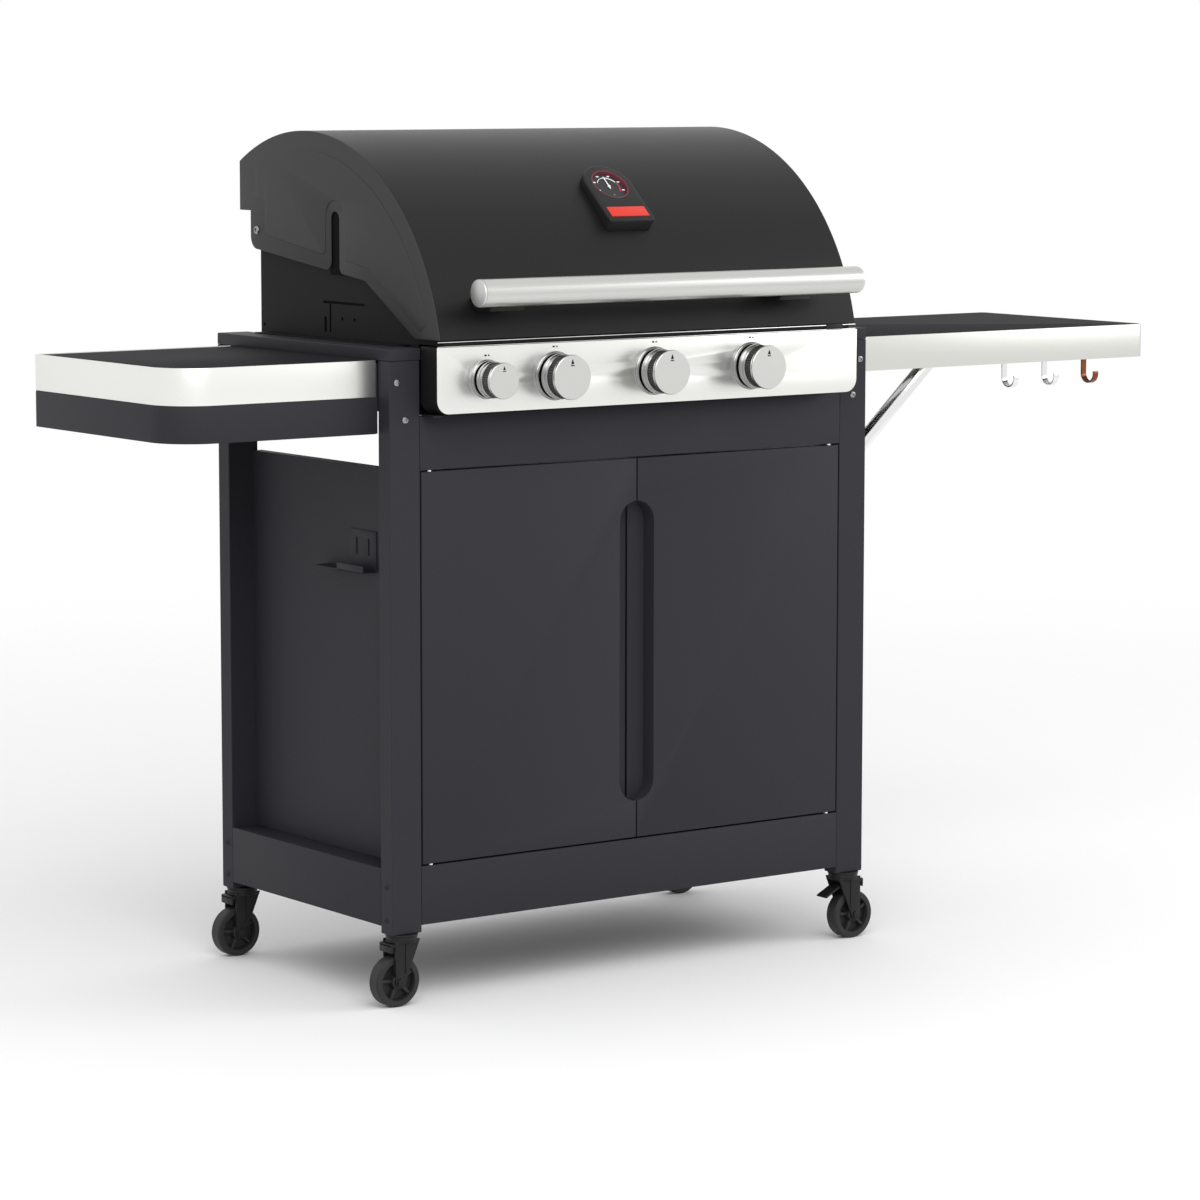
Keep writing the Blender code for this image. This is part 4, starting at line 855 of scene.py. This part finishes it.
def makeHandle(s):
    length, radius = s["right"] - s["left"], s["radius"]
    along = Matrix.Translation((s["left"], s["y"], s["z"])) @ faceRight
    tube = spinProfile("handleTube", [
        (0.0150, 0.0032), (radius, 0.0032), (radius, length - 0.0032), (0.0150, length - 0.0032)], along, 64)
    finishPiece(tube, handleSteel, "lid", ["lid_handle"], 30)
    endCap = spinProfile("handleEndLeft", [
        (0, 0), (radius * 0.90, 0), (radius * 0.965, 0.0005), (radius * 0.985, 0.0014), (radius * 0.985, 0.0030),
        (0, 0.0030)], along, 64)
    middle = s["left"] + s["right"]
    other = copyPiece(endCap, "handleEndRight", Matrix.Translation((middle, 0, 0)) @ Matrix.Diagonal((-1, 1, 1, 1)))
    finishPiece(endCap, handleEndSteel, "lid", angle=25)
    finishPiece(other, handleEndSteel, "lid", angle=25)
    for label, x in zip(("Left", "Right"), s["brackets"]):
        outline = [(-0.079, 0.9525), (-0.072, 0.9435), (-0.0280, 0.9435), (-0.0205, 0.9600), (-0.0640, 0.9600)]
        bracket = addPrism("handleBracket" + label, outline, "YZ", x, x + s["wide"], 0.0015, 3)
        finishPiece(bracket, lidEnamel, "lid")


makeHandle(handleShape)
print("lid and handle done")


# thermometer

gaugeShape = {
    "x": 0.41025, "angle": 130.7, "standoff": 0.012, "radius": 0.0395, "tail": 0.074, "dial": 0.0272,
    "ticks": (-111, -67.5, -24.5, 24.5, 67.5, 111), "badge": (0.032, -0.0655, -0.0465),
}


def makeGauge(s):
    a = math.radians(s["angle"])
    outward = Vector((0, math.cos(a), math.sin(a)))
    upward = Vector((0, math.sin(a), -math.cos(a)))
    turn = Matrix((Vector((1, 0, 0)), upward, outward)).transposed().to_4x4()
    centre = Vector((s["x"], *lidShape["centre"])) + outward * (lidShape["radius"] + s["standoff"])
    here = Matrix.Translation(centre) @ turn

    outline = arcPoints((0, 0), s["radius"], 0, 180, 40)
    outline += [(-s["radius"], -s["tail"] + 0.004), (-s["radius"] + 0.004, -s["tail"])]
    outline += [(s["radius"] - 0.004, -s["tail"]), (s["radius"], -s["tail"] + 0.004)]
    housing = addPrism("gaugeHousing", outline, "XY", -0.030, 0, 0.0022, 3)
    cutBy(housing, addRod("well", (0, 0, -0.0045), (0, 0, 0.01), s["dial"], 64))
    housing.data.transform(here)
    skin = addRod("skin", (0.2, *lidShape["centre"]), (0.6, *lidShape["centre"]), lidShape["radius"] + 0.0005, 256)
    cutBy(housing, skin)
    finishPiece(housing, casterPlastic, "lid", ["thermometer_housing"])

    def lay(piece, material, body="lid", replaced=(), angle=30):
        piece.data.transform(here)
        finishPiece(piece, material, body, replaced, angle)

    rim = spinProfile("gaugeRim", [
        (s["dial"] - 0.0016, -0.0044), (s["dial"] + 0.0002, -0.0044), (s["dial"] + 0.0012, -0.0002),
        (s["dial"] + 0.0008, 0.0006), (s["dial"] - 0.0006, 0.0002)], Matrix.Identity(4), 96)
    lay(rim, gaugeRimRed)
    face = spinProfile("gaugeFace", [
        (0, -0.0050), (s["dial"] - 0.0002, -0.0050), (s["dial"] - 0.0002, -0.0040), (0.0180, -0.0040),
        (0.0178, -0.0042), (0, -0.0042)], Matrix.Identity(4), 96)
    lay(face, dialGrey)

    def ringBand(name, radius, wide, start, end, material, low=-0.0041):
        outer = arcPoints((0, 0), radius + wide / 2, 90 - end, 90 - start, 36)
        inner = arcPoints((0, 0), radius - wide / 2, 90 - start, 90 - end, 36)
        lay(addPrism(name, outer + inner, "XY", low, low + 0.0004), material)

    ringBand("gaugeArcThin", 0.0172, 0.0007, -66, -10, dialWhite)
    ringBand("gaugeArcBold", 0.0172, 0.0014, -10, 62, dialWhite)
    ringBand("gaugeArcHot", 0.0172, 0.0020, 68, 128, dialRed)
    ticks = []
    for degrees in s["ticks"]:
        tick = addBlock("tick", (-0.0021, 0.0220 - 0.0009, -0.0040), (0.0021, 0.0220 + 0.0009, -0.0036))
        around = math.radians(degrees)
        tick.data.transform(Matrix.Translation((0.0221 * math.sin(around), 0.0221 * math.cos(around) - 0.0220, 0)))
        ticks.append(tick)
    ticks[0].name = "gaugeTicks"
    joinPieces(ticks[0], ticks[1:])
    lay(ticks[0], dialWhite)
    unit = addBlock("gaugeUnit", (-0.0012, -0.0184, -0.0040), (0.0012, -0.0164, -0.0037))
    lay(unit, dialGreyMark)

    needle = addPrism("gaugeNeedle", [(-0.0010, -0.0050), (0.0010, -0.0050), (0.0006, 0.0190), (-0.0006, 0.0190)],
                      "XY", -0.0036, -0.0030)
    hub = spinProfile("hub", [(0, -0.0040), (0.0021, -0.0040), (0.0021, -0.0028), (0.0014, -0.0024), (0, -0.0024)],
                      Matrix.Identity(4), 24)
    joinPieces(needle, [hub])
    lay(needle, dialWhite, "thermometer_needle", ["thermometer_needle"])

    half, low, high = s["badge"]
    badge = addBlock("gaugeBadge", (-half, low, -0.0004), (half, high, 0.0009), 0.0004)
    lay(badge, badgeRed)


makeGauge(gaugeShape)
print("thermometer done")


# side burner and shelves

band = refineNode("side_burner_band", "burnerBand", 0.0008, 3)
finishPiece(band, bandSteel, "cabinet", ["side_burner_band"], 30)
burnerBox = refineNode("side_burner_box", "burnerBox", 0.0010)
finishPiece(burnerBox, anthracitePaint, "cabinet", ["side_burner_box"], 30)
burnerTrim = {
    "endTrim": ((-0.0057, 0.0305, 0.8700), (-0.0029, 0.3985, 0.8783)),
    "flange": ((-0.0031, 0.0290, 0.7795), (-0.0002, 0.3990, 0.8740)), "edge": 0.0003,
}
trim = addBlock("bandEndTrim", *burnerTrim["endTrim"], burnerTrim["edge"])
flange = addBlock("shelfFlange", *burnerTrim["flange"], burnerTrim["edge"])
finishPiece(trim, shelfTopPaint, "cabinet")
finishPiece(flange, anthracitePaint, "cabinet")
burnerLid = refineNode("side_burner_lid", "burnerLid", 0.0010)
finishPiece(burnerLid, shelfTopPaint, "side_burner_lid", ["side_burner_lid"], 30)

shelf = refineNode("folding_shelf", "shelfTray", 0.0008, 3)
finishPiece(shelf, shelfSteel, "folding_shelf", ["folding_shelf"], 30)
shelfTop = {
    "left": 0.8235, "right": 1.3895, "front": 0.0310, "back": 0.3975, "low": 0.8770, "high": 0.8784,
    "corner": 0.008, "edge": 0.0005,
}


def makeShelfTop(s):
    corner = s["corner"]
    outline = [(s["left"], s["front"])]
    outline += arcPoints((s["right"] - corner, s["front"] + corner), corner, -90, 0, 6)
    outline += arcPoints((s["right"] - corner, s["back"] - corner), corner, 0, 90, 6) + [(s["left"], s["back"])]
    sheet = addPrism("shelfTopSheet", outline, "XY", s["low"], s["high"], s["edge"], 2)
    finishPiece(sheet, shelfTopPaint, "folding_shelf")


makeShelfTop(shelfTop)

strut = refineNode("shelf_strut", "shelfStrut", 0.0006, 2)
finishPiece(strut, chromeMetal, "shelf_strut", ["shelf_strut"])

hookShape = {
    "x": (1.140, 1.220, 1.300), "y": 0.062, "z": 0.8055, "radius": 0.0135, "thick": 0.0025, "wide": 0.010,
    "top": 0.8745, "strip": ((1.125, 0.0633, 0.852), (1.315, 0.0648, 0.8755)),
}


def makeHook(number, x, material, s):
    centre = (s["y"] - s["radius"], s["z"])
    outer = arcPoints(centre, s["radius"] + s["thick"] / 2, 0, -195, 32)
    inner = arcPoints(centre, s["radius"] - s["thick"] / 2, -195, 0, 32)
    outline = [(s["y"] + s["thick"] / 2, s["top"])] + outer + inner + [(s["y"] - s["thick"] / 2, s["top"])]
    hook = addPrism(f"hook{number}", outline, "YZ", x - s["wide"] / 2, x + s["wide"] / 2, 0.0007, 3)
    return finishPiece(hook, material, "folding_shelf", angle=30)


for number, x in enumerate(hookShape["x"], 1):
    makeHook(number, x, bronzeMetal if number == 3 else chromeMetal, hookShape)
strip = addBlock("hookStrip", *hookShape["strip"], 0.0004)
finishPiece(strip, chromeMetal, "folding_shelf", ["hook_rail"])
print("shelves and hooks done")


# casters

casterShape = {
    "trail": 0.012, "wheel": 0.035, "halfWidth": 0.011, "spokes": 5,
    "places": {  # x, y and the side that the wheel trails to
        "front_left": (0.024, 0.014, -1), "back_left": (0.024, 0.429, -1),
        "front_right": (0.7965, 0.014, 1), "back_right": (0.7965, 0.429, 1)},
}


def makeCaster(corner, x, y, side, s):
    words = corner.split("_")
    label = words[0].title() + words[1].title()
    axleX, wheel, half = x + side * s["trail"], s["wheel"], s["halfWidth"]
    facing = Matrix.Translation((axleX, y, wheel)) @ faceFront
    tyre = spinProfile("casterWheel" + label, [
        (wheel - 0.0085, -half), (wheel - 0.002, -half), (wheel, -half + 0.0028), (wheel, half - 0.0028),
        (wheel - 0.002, half), (wheel - 0.0085, half), (wheel - 0.0095, half - 0.002),
        (wheel - 0.0095, -half + 0.002)], facing, 64)
    hub = spinProfile("hub", [
        (0.0044, -0.0125), (0.0088, -0.0125), (0.0100, -0.0112), (0.0100, 0.0112), (0.0088, 0.0125),
        (0.0044, 0.0125)], facing, 32)
    web = spinProfile("web", [
        (0.0095, -0.0012), (wheel - 0.0090, -0.0012), (wheel - 0.0090, 0.0012), (0.0095, 0.0012)], facing, 48)
    spokes = []
    for number in range(s["spokes"]):
        spoke = addBlock("spoke", (0.0090, -0.0022, -0.0085), (wheel - 0.0090, 0.0022, 0.0085), 0.0008)
        spoke.data.transform(facing @ Matrix.Rotation(2 * math.pi * number / s["spokes"] + 0.5, 4, "Z"))
        spokes.append(spoke)
    joinPieces(tyre, [hub, web] + spokes)
    finishPiece(tyre, wheelPlastic, "caster_wheel_" + corner, ["caster_wheel_" + corner], 30)

    fork = refineNode("caster_fork_" + corner, "casterFork" + label, 0.0007, 2)
    race = spinProfile("race", [
        (0, 0.0879), (0.0195, 0.0879), (0.0222, 0.0893), (0.0222, 0.0912), (0.0180, 0.0925), (0.0180, 0.0940),
        (0.0210, 0.0948), (0.0210, 0.0965), (0, 0.0965)], Matrix.Translation((x, y, 0)), 40)
    hoodEnd = x + side * 0.0265
    crossing = sorted((x + side * 0.008, hoodEnd))
    hood = addBlock("hood", (crossing[0], y - 0.0150, 0.0838), (crossing[1], y + 0.0150, 0.0885), 0.0012)
    lipEdge = sorted((hoodEnd - side * 0.003, hoodEnd))
    hoodLip = addBlock("hoodLip", (lipEdge[0], y - 0.0150, 0.0760), (lipEdge[1], y + 0.0150, 0.0875), 0.0010)
    nuts = [addRod("nut", (axleX, y + turn * 0.0158, wheel), (axleX, y + turn * 0.0186, wheel), 0.0062, 6, 0.0006)
            for turn in (-1, 1)]
    ribs = [addBlock("rib", (x - 0.0012 + side * 0.003, y + turn * 0.0164 - 0.0006, 0.046),
                     (x + 0.0002 + side * 0.003, y + turn * 0.0164 + 0.0006, 0.089), 0.0003)
            for turn in (-1, 1)]
    joinPieces(fork, [race, hood, hoodLip] + nuts + ribs)
    finishPiece(fork, casterPlastic, "caster_fork_" + corner, ["caster_fork_" + corner], 30)
    plate = addRod("casterPlate" + label, (x, y, 0.0968), (x, y, 0.0998), 0.0225, 40, 0.0006)
    finishPiece(plate, casterPlastic, "cabinet")


for corner, (x, y, side) in casterShape["places"].items():
    makeCaster(corner, x, y, side, casterShape)
bpy.data.objects.remove(boltShape)
print("casters done")
